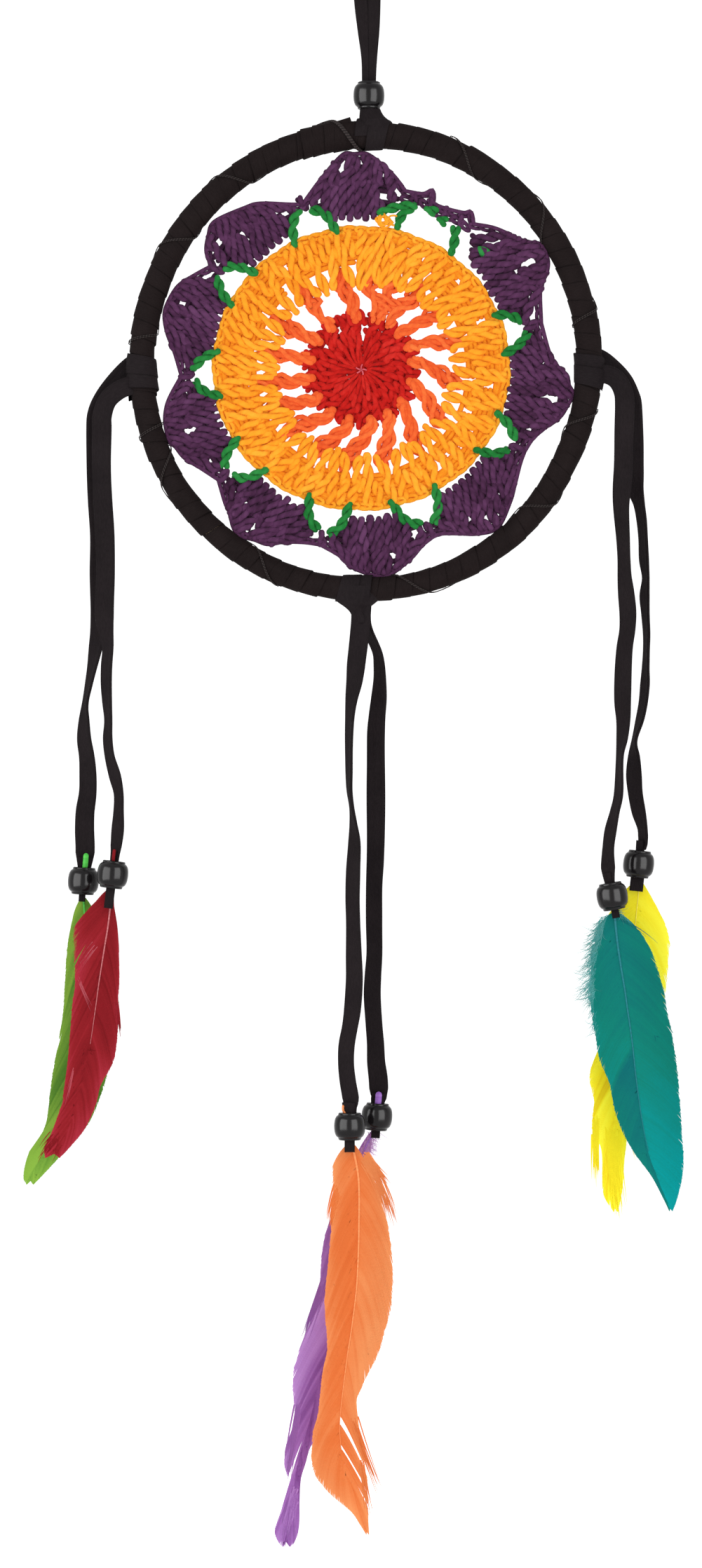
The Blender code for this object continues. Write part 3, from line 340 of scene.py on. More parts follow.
# Tufts of loose barbs: how many, where they start, their heading, length and bend, their scatter across, down
# and in degrees, their width, and their tone and paleness (a tone of None varies)
TUFTS = {
    "green": ((6, (9.2, -38.0), 34, 5.0, 0.0, (0.4, 0.8, 4.0), 0.32, None, 0.0),),
    "red": (
        (14, (1.3, -44.0), 7, 9.0, -4.0, (0.4, 1.0, 2.0), 0.32, None, 0.0),
        (24, (-19.5, -89.0), -40, 6.0, 10.0, (1.6, 1.4, 8.0), 0.32, 0.3, 0.0),
        (6, (-6.0, -24.5), -37, 9.0, 0.0, (0.5, 0.8, 2.0), 0.32, 0.7, 0.3),
        (4, (-11.4, -35.0), 24, 11.0, 0.0, (0.3, 0.8, 2.0), 0.32, 0.7, 0.25),
        (4, (-13.2, -66.0), -12, 12.0, 0.0, (0.4, 1.0, 3.0), 0.32, 0.8, 0.2),
        (5, (-8.0, -58.6), 60, 1.6, 0.0, (0.5, 0.5, 40.0), 0.32, 0.0, 0.0)),
    "orange": (
        (34, (5.4, -11.0), 33, 22.0, -20.0, (0.8, 1.2, 2.0), 0.5, 0.75, 0.0),
        (26, (5.0, -11.4), 46, 10.0, -10.0, (0.8, 1.2, 3.0), 0.5, 0.75, 0.0),
        (24, (-4.0, -22.0), -17, 10.0, 8.0, (0.5, 1.2, 1.2), 0.6, 0.5, 0.0),
        (14, (1.6, -100.0), 18, 24.0, 4.0, (0.6, 2.0, 1.2), 0.45, None, 0.0),
        (10, (4.0, -114.0), 6, 18.0, 4.0, (0.7, 1.6, 2.0), 0.45, None, 0.0)),
    "violet": (
        (18, (-18.8, -58.0), -18, 17.0, -2.0, (0.4, 1.5, 1.0), 0.5, 0.45, 0.0),
        (24, (-26.6, -100.0), -11, 21.0, 2.0, (0.6, 1.5, 1.0), 0.6, 0.5, 0.0),
        (40, (-27.8, -128.0), -12, 15.0, 4.0, (0.7, 2.0, 6.0), 0.5, None, 0.0)),
    "teal": (
        (2, (3.0, -8.0), 66, 14.0, -20.0, (0.2, 0.2, 1.0), 0.32, 0.0, 0.0),
        (5, (14.6, -47.0), 60, 2.0, 0.0, (0.4, 0.3, 30.0), 0.32, 0.0, 0.0)),
    "yellow": (
        (40, (-14.4, -88.0), -1, 17.0, 2.0, (0.6, 1.4, 1.0), 0.5, 0.5, 0.0),
        (40, (-9.0, -92.0), 3, 25.0, 3.0, (1.4, 2.0, 1.4), 0.5, 0.5, 0.0),
        (8, (-3.0, -80.0), 8, 20.0, 4.0, (1.2, 2.0, 3.0), 0.32, None, 0.0),
        (8, (-1.0, -78.0), 16, 17.0, 4.0, (1.2, 2.0, 3.0), 0.32, None, 0.0)),
}
QUILL_DEPTH = 0.9
# A vane is curled to this radius across its width
CURL_RADIUS = 30.0
BARB_SPACING, BARB_WIDTH = 0.3, 0.7


# Lines and frames

def at(x, z, y=0.0):
    """A place in metres, from millimetres about the hoop's centre."""
    return np.array((x, y, z + HOOP_Z)) * MM


def polar(radius, degrees, y=0.0, centre=(0.0, 0.0)):
    """Places in metres on circles about a centre in the hoop's plane."""
    turn = np.radians(np.asarray(degrees, float))
    x = centre[0] + radius * np.cos(turn)
    z = centre[1] + radius * np.sin(turn) + HOOP_Z
    return np.stack(np.broadcast_arrays(x, y, z), axis=-1) * MM


def hoop_place(out, turn, degrees):
    """Places by the wound tube: how far from its middle line, the turn about that line, the hoop's angle."""
    angles, middles, _ = zip(*HOOP_SHAPE)
    middle = np.interp(np.asarray(degrees) % 360, angles, middles)
    return polar(middle + out * np.cos(turn), degrees, out * np.sin(turn))


def tube_radius(degrees):
    """The wound tube's own radius at an angle of the hoop."""
    angles, _, tubes = zip(*HOOP_SHAPE)
    return np.interp(np.asarray(degrees) % 360, angles, tubes)


def spot(radius, degrees, y=0.0):
    """Places on the mandala, whose middle hangs a little below the centre of its rim."""
    sag = np.interp(radius, (28.0, 47.0), (SAG, 0.0))
    return polar(radius, degrees, y, (MANDALA[0], MANDALA[1] - sag))


def walk(line):
    """How far along a line each of its points is, in metres."""
    return np.concatenate([[0.0], np.cumsum(np.linalg.norm(np.diff(line, axis=0), axis=1))])


def evenly(line, step):
    """Points about one step apart along a line."""
    walked = walk(line)
    count = max(2, round(walked[-1] / (step * MM)))
    places = np.linspace(0.0, walked[-1], count + 1)
    return np.stack([np.interp(places, walked, line[:, i]) for i in range(3)], axis=1)


def through(points, steps=8):
    """A smooth curve through points of any dimension, with this many steps from each to the next."""
    points = np.array(points, float)
    ends = np.vstack([2 * points[:1] - points[1:2], points, 2 * points[-1:] - points[-2:-1]])
    share = np.arange(steps)[:, None] / steps
    pieces = []
    for before, start, end, after in zip(ends, ends[1:], ends[2:], ends[3:]):
        bend = 2 * before - 5 * start + 4 * end - after
        twist = 3 * start - 3 * end + after - before
        pieces.append((2 * start + (end - before) * share + bend * share**2 + twist * share**3) / 2)
    return np.vstack([*pieces, points[-1:]])


def unit(vectors):
    """The same directions at length 1."""
    return vectors / np.maximum(np.linalg.norm(vectors, axis=-1, keepdims=True), 1e-12)


def frames(line, facing=FRONT):
    """At each point of a line: across it, and square to that on the side that faces front."""
    along = unit(np.gradient(line, axis=0))
    side = unit(np.cross(np.broadcast_to(facing, line.shape), along))
    return side, np.cross(along, side)


# Meshes

# A strand's ball ends: degrees from the pole to each ring
BALL_RINGS = (6.0, 40.0, 68.0)


class Gather:
    """Grids of points gathered into one mesh, with a strand's own coordinates and tones for its material."""

    def __init__(self):
        self.points, self.quads, self.uvs, self.looks, self.tones = [], [], [], [], []
        self.count = 0

    def grid(self, points, closed=True, along=None, shade=0.5, pale=0.0, look=0):
        """Adds rows of points, joined to the next row and, where closed, round each row."""
        rows, columns = points.shape[:2]
        i = np.arange(rows - 1)[:, None]
        j = np.arange(columns if closed else columns - 1)[None, :]
        k = (j + 1) % columns
        corners = [i * columns + j, (i + 1) * columns + j, (i + 1) * columns + k, i * columns + k]
        self.quads.append(np.stack(corners, axis=-1).reshape(-1, 4) + self.count)
        if along is None:
            along = walk(points[:, 0]) / MM
        row, column = np.broadcast_arrays(i, j)
        first, second = along[row], along[row + 1]
        left, right = column / columns, (column + 1) / columns
        uv = np.stack([left, first, left, second, right, second, right, first], axis=-1)
        self.uvs.append(uv.reshape(-1, 2))
        self.points.append(points.reshape(-1, 3))
        tones = [np.broadcast_to(tone, (rows, columns)) for tone in (shade, pale)]
        self.tones.append(np.stack(tones, axis=-1).reshape(-1, 2))
        self.looks.append(np.full(len(self.quads[-1]), look))
        self.count += rows * columns

    def strand(self, line, radius, sides=8, flat=1.0, facing=FRONT, **tones):
        """A round strand of yarn, thread or stem with ball ends. The radius may vary along it."""
        radius = np.broadcast_to(np.asarray(radius, float), len(line)) * MM
        steps = np.radians(BALL_RINGS)
        first, last = unit(line[0] - line[1]), unit(line[-1] - line[-2])
        head = line[0] + first * radius[0] * np.cos(steps)[:, None]
        tail = line[-1] + last * radius[-1] * np.cos(steps[::-1])[:, None]
        line = np.vstack([head, line, tail])
        radius = np.concatenate([radius[0] * np.sin(steps), radius, radius[-1] * np.sin(steps[::-1])])
        side, face = frames(line, facing)
        turn = 2 * math.pi * np.arange(sides) / sides
        cosine, sine = np.cos(turn)[:, None], flat * np.sin(turn)[:, None]
        ring = side[:, None] * cosine + face[:, None] * sine
        self.grid(line[:, None] + radius[:, None, None] * ring, along=walk(line) / MM, **tones)

    def strip(self, line, section, turn=0.0, scale=1.0):
        """A closed section, in millimetres across and to the front, swept along a line and turned on it."""
        side, face = frames(line)
        turn = np.radians(np.broadcast_to(turn, len(line)))[:, None, None]
        scale = np.broadcast_to(scale, len(line))[:, None, None]
        across, out = np.array(section)[None, :, :1], np.array(section)[None, :, 1:]
        right = across * np.cos(turn) - out * np.sin(turn)
        up = across * np.sin(turn) + out * np.cos(turn)
        points = line[:, None] + scale * (right * side[:, None] + up * face[:, None]) * MM
        self.grid(points, along=walk(line) / MM)

    def piece(self, name, looks, body=None, replaces=(), slot=None):
        """Makes the object, puts it on its body, and hides the CAD nodes that it stands for."""
        data = bpy.data.meshes.new(name)
        points, quads = np.vstack(self.points), np.vstack(self.quads)
        data.vertices.add(len(points))
        data.vertices.foreach_set("co", points.ravel())
        data.loops.add(quads.size)
        data.loops.foreach_set("vertex_index", quads.ravel())
        data.polygons.add(len(quads))
        data.polygons.foreach_set("loop_start", np.arange(0, quads.size, 4))
        data.polygons.foreach_set("material_index", np.concatenate(self.looks))
        data.update(calc_edges=True)
        data.uv_layers.new(name="strand").data.foreach_set("uv", np.vstack(self.uvs).ravel())
        for index, attribute in enumerate(("shade", "pale")):
            values = data.attributes.new(attribute, "FLOAT", "POINT").data
            values.foreach_set("value", np.vstack(self.tones)[:, index].astype(np.float32))
        data.shade_smooth()
        for look in looks:
            data.materials.append(look)
        made = bpy.data.objects.new(name, data)
        bpy.context.scene.collection.objects.link(made)
        if body:
            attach(made, body)
        if replaces:
            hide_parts(*replaces)
        return made


# Materials

def srgb(levels):
    """A colour for a socket, from 0-255 levels."""
    shares = [level / 255 for level in levels]
    return *(c / 12.92 if c <= 0.04045 else ((c + 0.055) / 1.055) ** 2.4 for c in shares), 1.0


class Look:
    """A material's node graph, built a node at a time around its Principled shader."""

    def __init__(self, name, roughness, specular, sheen=0.0):
        self.material = bpy.data.materials.new(name)
        self.material.use_nodes = True
        self.nodes, self.links = self.material.node_tree.nodes, self.material.node_tree.links
        self.shader = self.nodes["Principled BSDF"]
        settings = {"Roughness": roughness, "Specular IOR Level": specular,
                    "Sheen Weight": sheen, "Sheen Roughness": 0.4}
        for socket, value in settings.items():
            self.shader.inputs[socket].default_value = value

    def add(self, kind, **settings):
        node = self.nodes.new("ShaderNode" + kind)
        for name, value in settings.items():
            setattr(node, name, value)
        return node

    def put(self, socket, value):
        """Links a socket to another node's, or sets it to a number or a colour."""
        if isinstance(value, bpy.types.NodeSocket):
            self.links.new(value, socket)
        else:
            socket.default_value = value

    def tone(self, name):
        """The shade or paleness that each strand was given."""
        return self.add("Attribute", attribute_name=name).outputs["Fac"]

    def strand(self):
        """The piece's own coordinates: around it from 0 to 1, and along it in millimetres."""
        split = self.add("SeparateXYZ")
        self.put(split.inputs["Vector"], self.add("UVMap", uv_map="strand").outputs["UV"])
        return split.outputs["X"], split.outputs["Y"]

    def math(self, operation, *values):
        node = self.add("Math", operation=operation)
        for socket, value in zip(node.inputs, values):
            self.put(socket, value)
        return node.outputs["Value"]

    def weigh(self, *parts):
        """The sum of some values, each times its weight."""
        total = 0.0
        for value, weight in parts:
            total = self.math("MULTIPLY_ADD", value, weight, total)
        return total

    def wave(self, *parts):
        """A sine that goes round once for each whole number in a weighed sum."""
        return self.math("SINE", self.weigh((self.weigh(*parts), 2 * math.pi)))

    def noise(self, scale, detail=2.0, place=None):
        """Noise in the object's own coordinates, or at a place made by stretched."""
        node = self.add("TexNoise")
        if place is None:
            place = self.add("TexCoord").outputs["Object"]
        for name, value in (("Vector", place), ("Scale", scale), ("Detail", detail)):
            self.put(node.inputs[name], value)
        return node.outputs["Fac"]

    def stretched(self, *parts):
        """A place in a noise, from coordinates that are each stretched by a weight."""
        node = self.add("CombineXYZ")
        for socket, part in zip(node.inputs, parts):
            self.put(socket, self.weigh(part))
        return node.outputs["Vector"]

    def ramp(self, factor, *stops):
        """Colours in 0-255 levels, each at its place between 0 and 1."""
        node = self.add("ValToRGB")
        self.put(node.inputs["Fac"], factor)
        elements = node.color_ramp.elements
        while len(elements) < len(stops):
            elements.new(0.5)
        for element, (position, levels) in zip(elements, stops):
            element.position = position
            element.color = srgb(levels)
        return node.outputs["Color"]

    def faded(self, dyed, levels):
        """A colour that gives way to a paler one, as far as each strand's paleness says."""
        node = self.add("Mix", data_type="RGBA")
        for name, value in (("Factor", self.tone("pale")), ("A", dyed), ("B", srgb(levels))):
            self.put(node.inputs[name], value)
        return node.outputs["Result"]

    def finish(self, base, height, relief):
        """Gives the shader its colour and a bump, whose height 1 is this many millimetres."""
        self.put(self.shader.inputs["Base Color"], base)
        node = self.add("Bump")
        for name, value in (("Strength", 1.0), ("Distance", relief * MM), ("Height", height)):
            self.put(node.inputs[name], value)
        self.put(self.shader.inputs["Normal"], node.outputs["Normal"])
        return self.material


def yarn_look(name, dark, middle, light):
    """Soft matt yarn of two twisted plies, with a little fluff and painted shade in the grooves between the
    plies.
    """
    look = Look(name, roughness=0.95, specular=0.05, sheen=0.03)
    around, along = look.strand()
    ply = look.wave((around, 2.0), (along, 0.42))
    drift = look.noise(160.0)
    # Tone: each strand's own tone, which for hidden backing strands is painted shade, random drift, and a faint
    # painted shade in the ply grooves
    worn = look.weigh((look.tone("shade"), 0.6), (drift, 0.4), (ply, 0.06))
    fluff = look.noise(2600.0, 3.0)
    return look.finish(look.ramp(worn, (0.15, dark), (0.5, middle), (0.85, light)),
                       look.weigh((ply, 0.5), (fluff, 1.0)), 0.16)


def ribbon_look(name, dark, light, ribs):
    """Matt black ribbon with fine ribs along it and a faint bloom."""
    look = Look(name, roughness=0.85, specular=0.04)
    around, along = look.strand()
    rib = look.wave((around, ribs))
    slub = look.noise(5.0, place=look.stretched((around, 9.0), (along, 0.12)))
    bloom = look.weigh((slub, 0.5), (look.noise(90.0), 0.5))
    return look.finish(look.ramp(bloom, (0.3, dark), (0.7, light)), look.weigh((rib, 0.3), (slub, 1.0)), 0.12)


def bead_look(name, dark, light):
    """Glossy black plastic, faintly clouded with tiny scuffs."""
    look = Look(name, roughness=0.2, specular=0.16)
    scuff = look.noise(1500.0, 4.0)
    look.put(look.shader.inputs["Roughness"], look.math("MULTIPLY_ADD", scuff, 0.1, 0.14))
    return look.finish(look.ramp(look.noise(220.0), (0.35, dark), (0.7, light)), look.noise(300.0), 0.015)


def cane_look(name, dark, light):
    """Plain cane, with its grain as both colour and relief."""
    look = Look(name, roughness=0.6, specular=0.4)
    grain = look.noise(900.0, 4.0)
    return look.finish(look.ramp(grain, (0.3, dark), (0.7, light)), grain, 0.1)


def thread_look(name, dark, light):
    """Twisted black thread that catches a little light on each ply."""
    look = Look(name, roughness=0.7, specular=0.04)
    around, along = look.strand()
    ply = look.wave((around, 1.0), (along, 1.0))
    return look.finish(look.ramp(ply, (0.0, dark), (1.0, light)), ply, 0.06)


def feather_look(name, dark, middle, light, pale):
    """Dyed barbs that fade to undyed white where downy; each barb's tone also carries painted shade and light.
    """
    look = Look(name, roughness=0.62, specular=0.02)
    along = look.strand()[1]
    streak, patch = look.noise(1400.0), look.noise(60.0)
    tone = look.weigh((look.tone("shade"), 0.72), (streak, 0.08), (patch, 0.2))
    dyed = look.ramp(tone, (0.2, dark), (0.5, middle), (0.8, light))
    barbule = look.wave((along, 1 / 0.35))
    return look.finish(look.faded(dyed, pale), look.weigh((barbule, 0.3), (streak, 1.0)), 0.05)


def shaft_look(name, dark, light):
    """Smooth quill, streaked along its length."""
    look = Look(name, roughness=0.5, specular=0.1)
    grain = look.noise(6.0, place=look.stretched((look.strand()[1], 0.2)))
    return look.finish(look.ramp(grain, (0.3, dark), (0.7, light)), grain, 0.05)


def floor_look(name, dark, light):
    """A pale floor that is lit a little from within, like the white surroundings."""
    look = Look(name, roughness=0.9, specular=0.1)
    look.shader.inputs["Emission Color"].default_value = srgb((255, 255, 255))
    look.shader.inputs["Emission Strength"].default_value = 0.35
    look.put(look.shader.inputs["Base Color"], look.ramp(look.noise(30.0), (0.0, dark), (1.0, light)))
    return look.material


# All colours are 0-255 levels, from the darkest to the lightest
LOOKS = {
    "ribbon": ribbon_look("black_ribbon", (22, 17, 19), (34, 28, 30), 9.0),
    "winding": ribbon_look("black_winding", (19, 12, 12), (31, 23, 23), 7.0),
    "bead": bead_look("black_bead", (16, 14, 15), (24, 21, 23)),
    "cane": cane_look("cane", (162, 129, 89), (197, 166, 124)),
    "thread": thread_look("black_thread", (38, 33, 33), (66, 58, 57)),
}
YARNS = {
    "red_yarn": ((166, 14, 12), (196, 28, 22), (212, 46, 38)),
    "worn_yarn": ((206, 70, 84), (222, 110, 120), (236, 160, 165)),
    "orange_yarn": ((224, 82, 34), (238, 104, 48), (244, 126, 60)),
    "yellow_yarn": ((240, 144, 28), (248, 163, 38), (251, 176, 52)),
    "green_yarn": ((18, 94, 36), (32, 124, 54), (52, 144, 70)),
    "purple_yarn": ((50, 22, 45), (82, 44, 78), (102, 60, 98)),
}
for yarn_name, yarn_colours in YARNS.items():
    LOOKS[yarn_name] = yarn_look(yarn_name, *yarn_colours)
# The barbs' three dyes and their undyed down
DYES = {
    "green": ((60, 108, 38), (88, 138, 48), (134, 178, 66), (180, 222, 110)),
    "red": ((108, 14, 20), (142, 28, 36), (172, 46, 62), (214, 140, 150)),
    "orange": ((206, 92, 38), (220, 112, 56), (232, 144, 88), (250, 206, 170)),
    "violet": ((122, 70, 140), (154, 102, 174), (190, 142, 208), (224, 180, 228)),
    "teal": ((8, 96, 104), (10, 124, 110), (0, 146, 148), (150, 208, 210)),
    "yellow": ((232, 196, 26), (250, 232, 40), (255, 248, 64), (255, 250, 190)),
}
SHAFTS = {
    "green": ((60, 176, 60), (90, 206, 80)), "red": ((168, 74, 80), (204, 124, 126)),
    "orange": ((236, 130, 66), (246, 158, 100)), "violet": ((128, 78, 168), (158, 112, 190)),
    "teal": ((4, 104, 114), (10, 128, 134)), "yellow": ((236, 214, 60), (250, 236, 110)),
}


# The camera, the light and the floor, in metres

LENS, SENSOR_WIDTH = 100.0, 36.0
CAMERA_PLACE = (-0.00485, -1.471, -0.29285)
SURROUNDINGS_STRENGTH = 1.15
# The softboxes: place, width and power
SOFTBOXES = {
    "left_softbox": ((-1.29, -1.11, -0.3), 1.8, 105.0),
    "right_softbox": ((1.02, -1.36, -0.3), 1.4, 80.0),
}
SOFTBOX_HEIGHT, SOFTBOX_AIM = 2.2, Vector((0.0, 0.0, -0.3))
FLOOR_RADIUS, FLOOR_HEIGHT = 0.9, -0.6


def make_camera():
    """Level and square to the hoop, where the picture was taken from."""
    data = bpy.data.cameras.new("camera")
    data.lens = LENS
    data.sensor_width = SENSOR_WIDTH
    camera = bpy.data.objects.new("camera", data)
    camera.location = CAMERA_PLACE
    camera.rotation_euler = (math.radians(90.0), 0.0, 0.0)
    bpy.context.scene.collection.objects.link(camera)
    bpy.context.scene.camera = camera


def make_softbox(name, place, width, power):
    """A tall soft light that shows only as a highlight: the white surroundings give all the rest."""
    data = bpy.data.lights.new(name, "AREA")
    data.shape = "RECTANGLE"
    data.size, data.size_y = width, SOFTBOX_HEIGHT
    data.energy = power
    light = bpy.data.objects.new(name, data)
    light.location = place
    light.rotation_euler = (SOFTBOX_AIM - Vector(place)).to_track_quat("-Z", "Y").to_euler()
    light.visible_camera = False
    light.visible_diffuse = False
    bpy.context.scene.collection.objects.link(light)


def make_studio():
    """White surroundings, two softboxes and a round pale floor well below the feathers."""
    bpy.context.scene.view_settings.view_transform = "Standard"
    world = bpy.data.worlds.new("studio")
    world.use_nodes = True
    background = world.node_tree.nodes["Background"]
    background.inputs["Color"].default_value = (1.0, 1.0, 1.0, 1.0)
    background.inputs["Strength"].default_value = SURROUNDINGS_STRENGTH
    bpy.context.scene.world = world
    for name, (place, width, power) in SOFTBOXES.items():
        make_softbox(name, place, width, power)
    floor = Gather()
    turn = np.radians(np.arange(0, 360, 5))
    rim = np.stack([np.cos(turn), np.sin(turn), np.zeros(len(turn))], axis=1) * FLOOR_RADIUS
    floor.grid(np.stack([rim, rim * 0.5, rim * 0.001]) + (0.0, 0.0, FLOOR_HEIGHT))
    floor.piece("floor", [floor_look("pale_floor", (243, 243, 243), (248, 248, 248))])


# Ribbon

def soft_section(width, thickness, curl):
    """A flat soft cord: rounded edges that curl a little to the front."""
    half = width / 2
    upper = [(-1.0, 0.0), (-0.92, 0.8), (-0.6, 1.0), (0.0, 0.8), (0.6, 1.0), (0.92, 0.8)]
    lower = [(-x, -y) for x, y in upper]
    return [(x * half, y * thickness / 2 + curl * (x**2 - 0.8)) for x, y in (*upper, *lower)]


def ribbon_depth(colour, z):
    """A ribbon comes away from its tie towards its own row, front or back."""
    side, route = RIBBONS[colour]
    bottom = BEADS[colour][1] + BEAD_HEIGHT / 2
    share = np.clip((route[0][1] - z) / (route[0][1] - bottom), 0.0, 1.0)
    return side * (TIE_DEPTH + (BEAD_DEPTH - TIE_DEPTH) * share)


def leant(colour, height, y=0.0):
    """A place along a bead's leaning axis, from its centre."""
    bead_x, bead_z, lean = BEADS[colour][:3]
    turn = math.radians(lean)
    return at(bead_x + height * math.sin(turn), bead_z + height * math.cos(turn),
              RIBBONS[colour][0] * BEAD_DEPTH + y)


def make_ribbon(colour):
    """One pendant ribbon, from where it leaves its tie to inside its bead."""
    rows = RIBBONS[colour][1]
    route = [at(x, z, ribbon_depth(colour, z)) for x, z in SHOULDERS[colour]]
    route += [at(x, z, ribbon_depth(colour, z)) for x, z, _ in rows]
    route += [leant(colour, height) for height in (BEAD_HEIGHT / 2 + 1.0, BEAD_HEIGHT / 2 - 2.0)]
    line = evenly(through(route), 1.0)
    heights = line[:, 2] / MM - HOOP_Z
    twist = through([(z, turn) for _, z, turn in rows])[::-1]
    turn = np.interp(heights, twist[:, 0], twist[:, 1])
    clear_of_bead = np.clip((heights - heights[-1]) / RIBBON_PINCH, 0.0, 1.0)
    ripple = 0.02 * np.sin(walk(line) / MM / 5.0 + len(colour))
    made = Gather()
    made.strip(line, soft_section(RIBBON_WIDTH, RIBBON_THICKNESS, RIBBON_CURL), turn,
               (0.6 + 0.4 * clear_of_bead) * (1.0 + ripple))
    piece = made.piece("ribbon_" + colour + "_cloth", [LOOKS["ribbon"]], replaces=["ribbon_" + colour],
                       slot="ribbon")
    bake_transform(piece)


def make_loop():
    """The doubled ribbon through the top bead and over the nail."""
    rows = through([(*at(x, z), width) for x, z, width in LOOP_ROUTE])
    line = evenly(rows[:, :3], 0.8)
    width = np.interp(walk(line), walk(rows[:, :3]), rows[:, 3])
    made = Gather()
    section = soft_section(LOOP_WIDTH, 1.9, 0.1)
    crease = 8.0 * np.sin(walk(line) / MM / 9.0)
    crown = round((len(line) - 1) / 2)
    for half in (slice(0, crown + 1), slice(crown, None)):
        made.strip(line[half], section, crease[half], width[half] / LOOP_WIDTH)
    piece = made.piece("hanging_loop_ribbon", [LOOKS["ribbon"]], "loop", ["hanging_loop"], "ribbon")


def wound(made, first, last, extra=0.0, pitch=WINDING_PITCH, rise=0.12, rough=0.1):
    """Ribbon wound round the hoop between two angles, each turn over the edge of the one before.

    It lies further out than the hoop's own tube by extra. Its edges stand out by rise, and its turns differ
    from each other by rough.
    """
    turns = math.radians(last - first) * HOOP_MID / pitch
    count = max(12, round(turns * 20))
    share = np.linspace(0.0, 1.0, count + 1)
    phase = 2 * math.pi * turns * share
    across, climb = np.array(TURN_SECTION).T
    # Each turn has its own swell, place along the hoop, and tone
    number = np.arange(int(turns) + 3)
    swell = np.interp(turns * share, number, chance.normal(0.0, rough, len(number)))
    shift = np.interp(turns * share, number, chance.normal(0.0, 0.3, len(number)))
    degrees = first + (last - first) * share
    spread = np.degrees((across * RIBBON_WIDTH / 2 + shift[:, None]) / HOOP_MID)
    out = tube_radius(degrees)[:, None] + extra + climb * rise + swell[:, None] - 0.1
    facets = 1.0 + 0.025 * np.cos(2 * phase + 3 * swell / max(rough, 0.01))[:, None]
    points = hoop_place(out * facets, -phase[:, None], degrees[:, None] + spread)
    tone = chance.uniform(0.35, 0.65, len(number))[np.floor(turns * share).astype(int)][:, None]
    made.grid(points, closed=False, shade=tone)


def make_hoop():
    """The ring, its winding with a second layer at the upper left, and the flap of ribbon that ends it."""
    ring = Gather()
    ring.strand(hoop_place(0.0, 0.0, np.linspace(0, 360, 181)), RING_TUBE - 0.02, sides=14)
    ring.piece("hoop_ring_cane", [LOOKS["cane"]], "hoop", ["hoop_ring"], "cane")
    winding = Gather()
    wound(winding, *WINDING_ENDS)
    wound(winding, *SECOND_LAYER)
    winding.strip(evenly(through([at(*place) for place in FLAP]), 0.6), soft_section(6.0, 1.0, 0.2))
    winding.piece("hoop_winding_ribbon", [LOOKS["winding"]], "hoop", ["hoop_winding"], "ribbon")


def make_ties():
    """Four wraps of ribbon over the winding, of which two are also drawn together above or below the hoop."""
    trim = math.degrees(RIBBON_WIDTH / 2 / HOOP_MID)
    for name, (angle, half) in TIES.items():
        tie = Gather()
        wound(tie, angle - half + trim, angle + half - trim, 0.75, 4.4, 0.2, 0.06)
        if name in GATHERS:
            gathered(tie, GATHERS[name])
        body = "top_knot" if name == "top_tie" else "hoop"
        tie.piece(name + "_cloth", [LOOKS["ribbon"]], body, [name], "ribbon")


def gathered(made, rows):
    """Ribbon drawn together in soft upright folds, through rows of height, left edge and right edge."""
    rows = through(rows, 6)
    turn = np.linspace(0, 2 * math.pi, 48, endpoint=False)[None, :]
    half = (rows[:, 2:] - rows[:, 1:2]) / 2
    middle = (rows[:, 2:] + rows[:, 1:2]) / 2
    folds = 1 + 0.04 * np.cos(5 * turn + 0.8) + 0.03 * np.cos(9 * turn)
    x = middle + half * folds * np.cos(turn)
    y = np.minimum(half, 5.2) * folds * 0.95 * np.sin(turn)
    points = np.stack([x, y, np.broadcast_to(rows[:, :1] + HOOP_Z, x.shape)], axis=-1) * MM
    made.grid(points, along=np.abs(rows[:, 0] - rows[0, 0]))


# Beads

def bead_profile(bore):
    """Radius and height round a turned barrel with a narrow collar at each flat end."""
    upper = ((bore, 3.6), (bore, 4.45), (bore + 0.15, 4.6), (3.5, 4.6), (3.72, 4.5), (3.8, 4.2), (3.84, 3.92),
             (4.0, 3.76), (4.35, 3.5), (4.68, 3.1), (4.94, 2.5), (5.12, 1.8), (5.22, 1.0), (5.26, 0.3))
    return np.array([*upper, *((radius, -height) for radius, height in reversed(upper))])


def turned(made, base, lean, bore):
    """A barrel whose axis leans to +X, and the wall of its bore."""
    profile = bead_profile(bore)
    turn = np.linspace(0, 2 * math.pi, 64, endpoint=False)
    tilt = math.radians(lean)
    radius, height = profile[:, :1], profile[:, 1:]
    x = radius * np.cos(turn) * math.cos(tilt) + height * math.sin(tilt)
    z = height * math.cos(tilt) - radius * np.cos(turn) * math.sin(tilt)
    points = base + np.stack([x, radius * np.sin(turn), z], axis=-1) * MM
    made.grid(points[::-1])
    made.grid(points[[0, -1]])


def make_beads():
    """The bead on the loop, and one under each ribbon."""
    top = Gather()
    turned(top, at(*TOP_BEAD), 0.0, TOP_BORE)
    top.piece("top_bead_turned", [LOOKS["bead"]], "loop_bead", ["top_bead"], "bead")
    for colour, row in BEADS.items():
        bead = Gather()
        turned(bead, leant(colour, 0.0), row[2], PENDANT_BORE)
        bead.piece("bead_" + colour + "_turned", [LOOKS["bead"]], "drop_" + colour, ["bead_" + colour],
                   "bead")


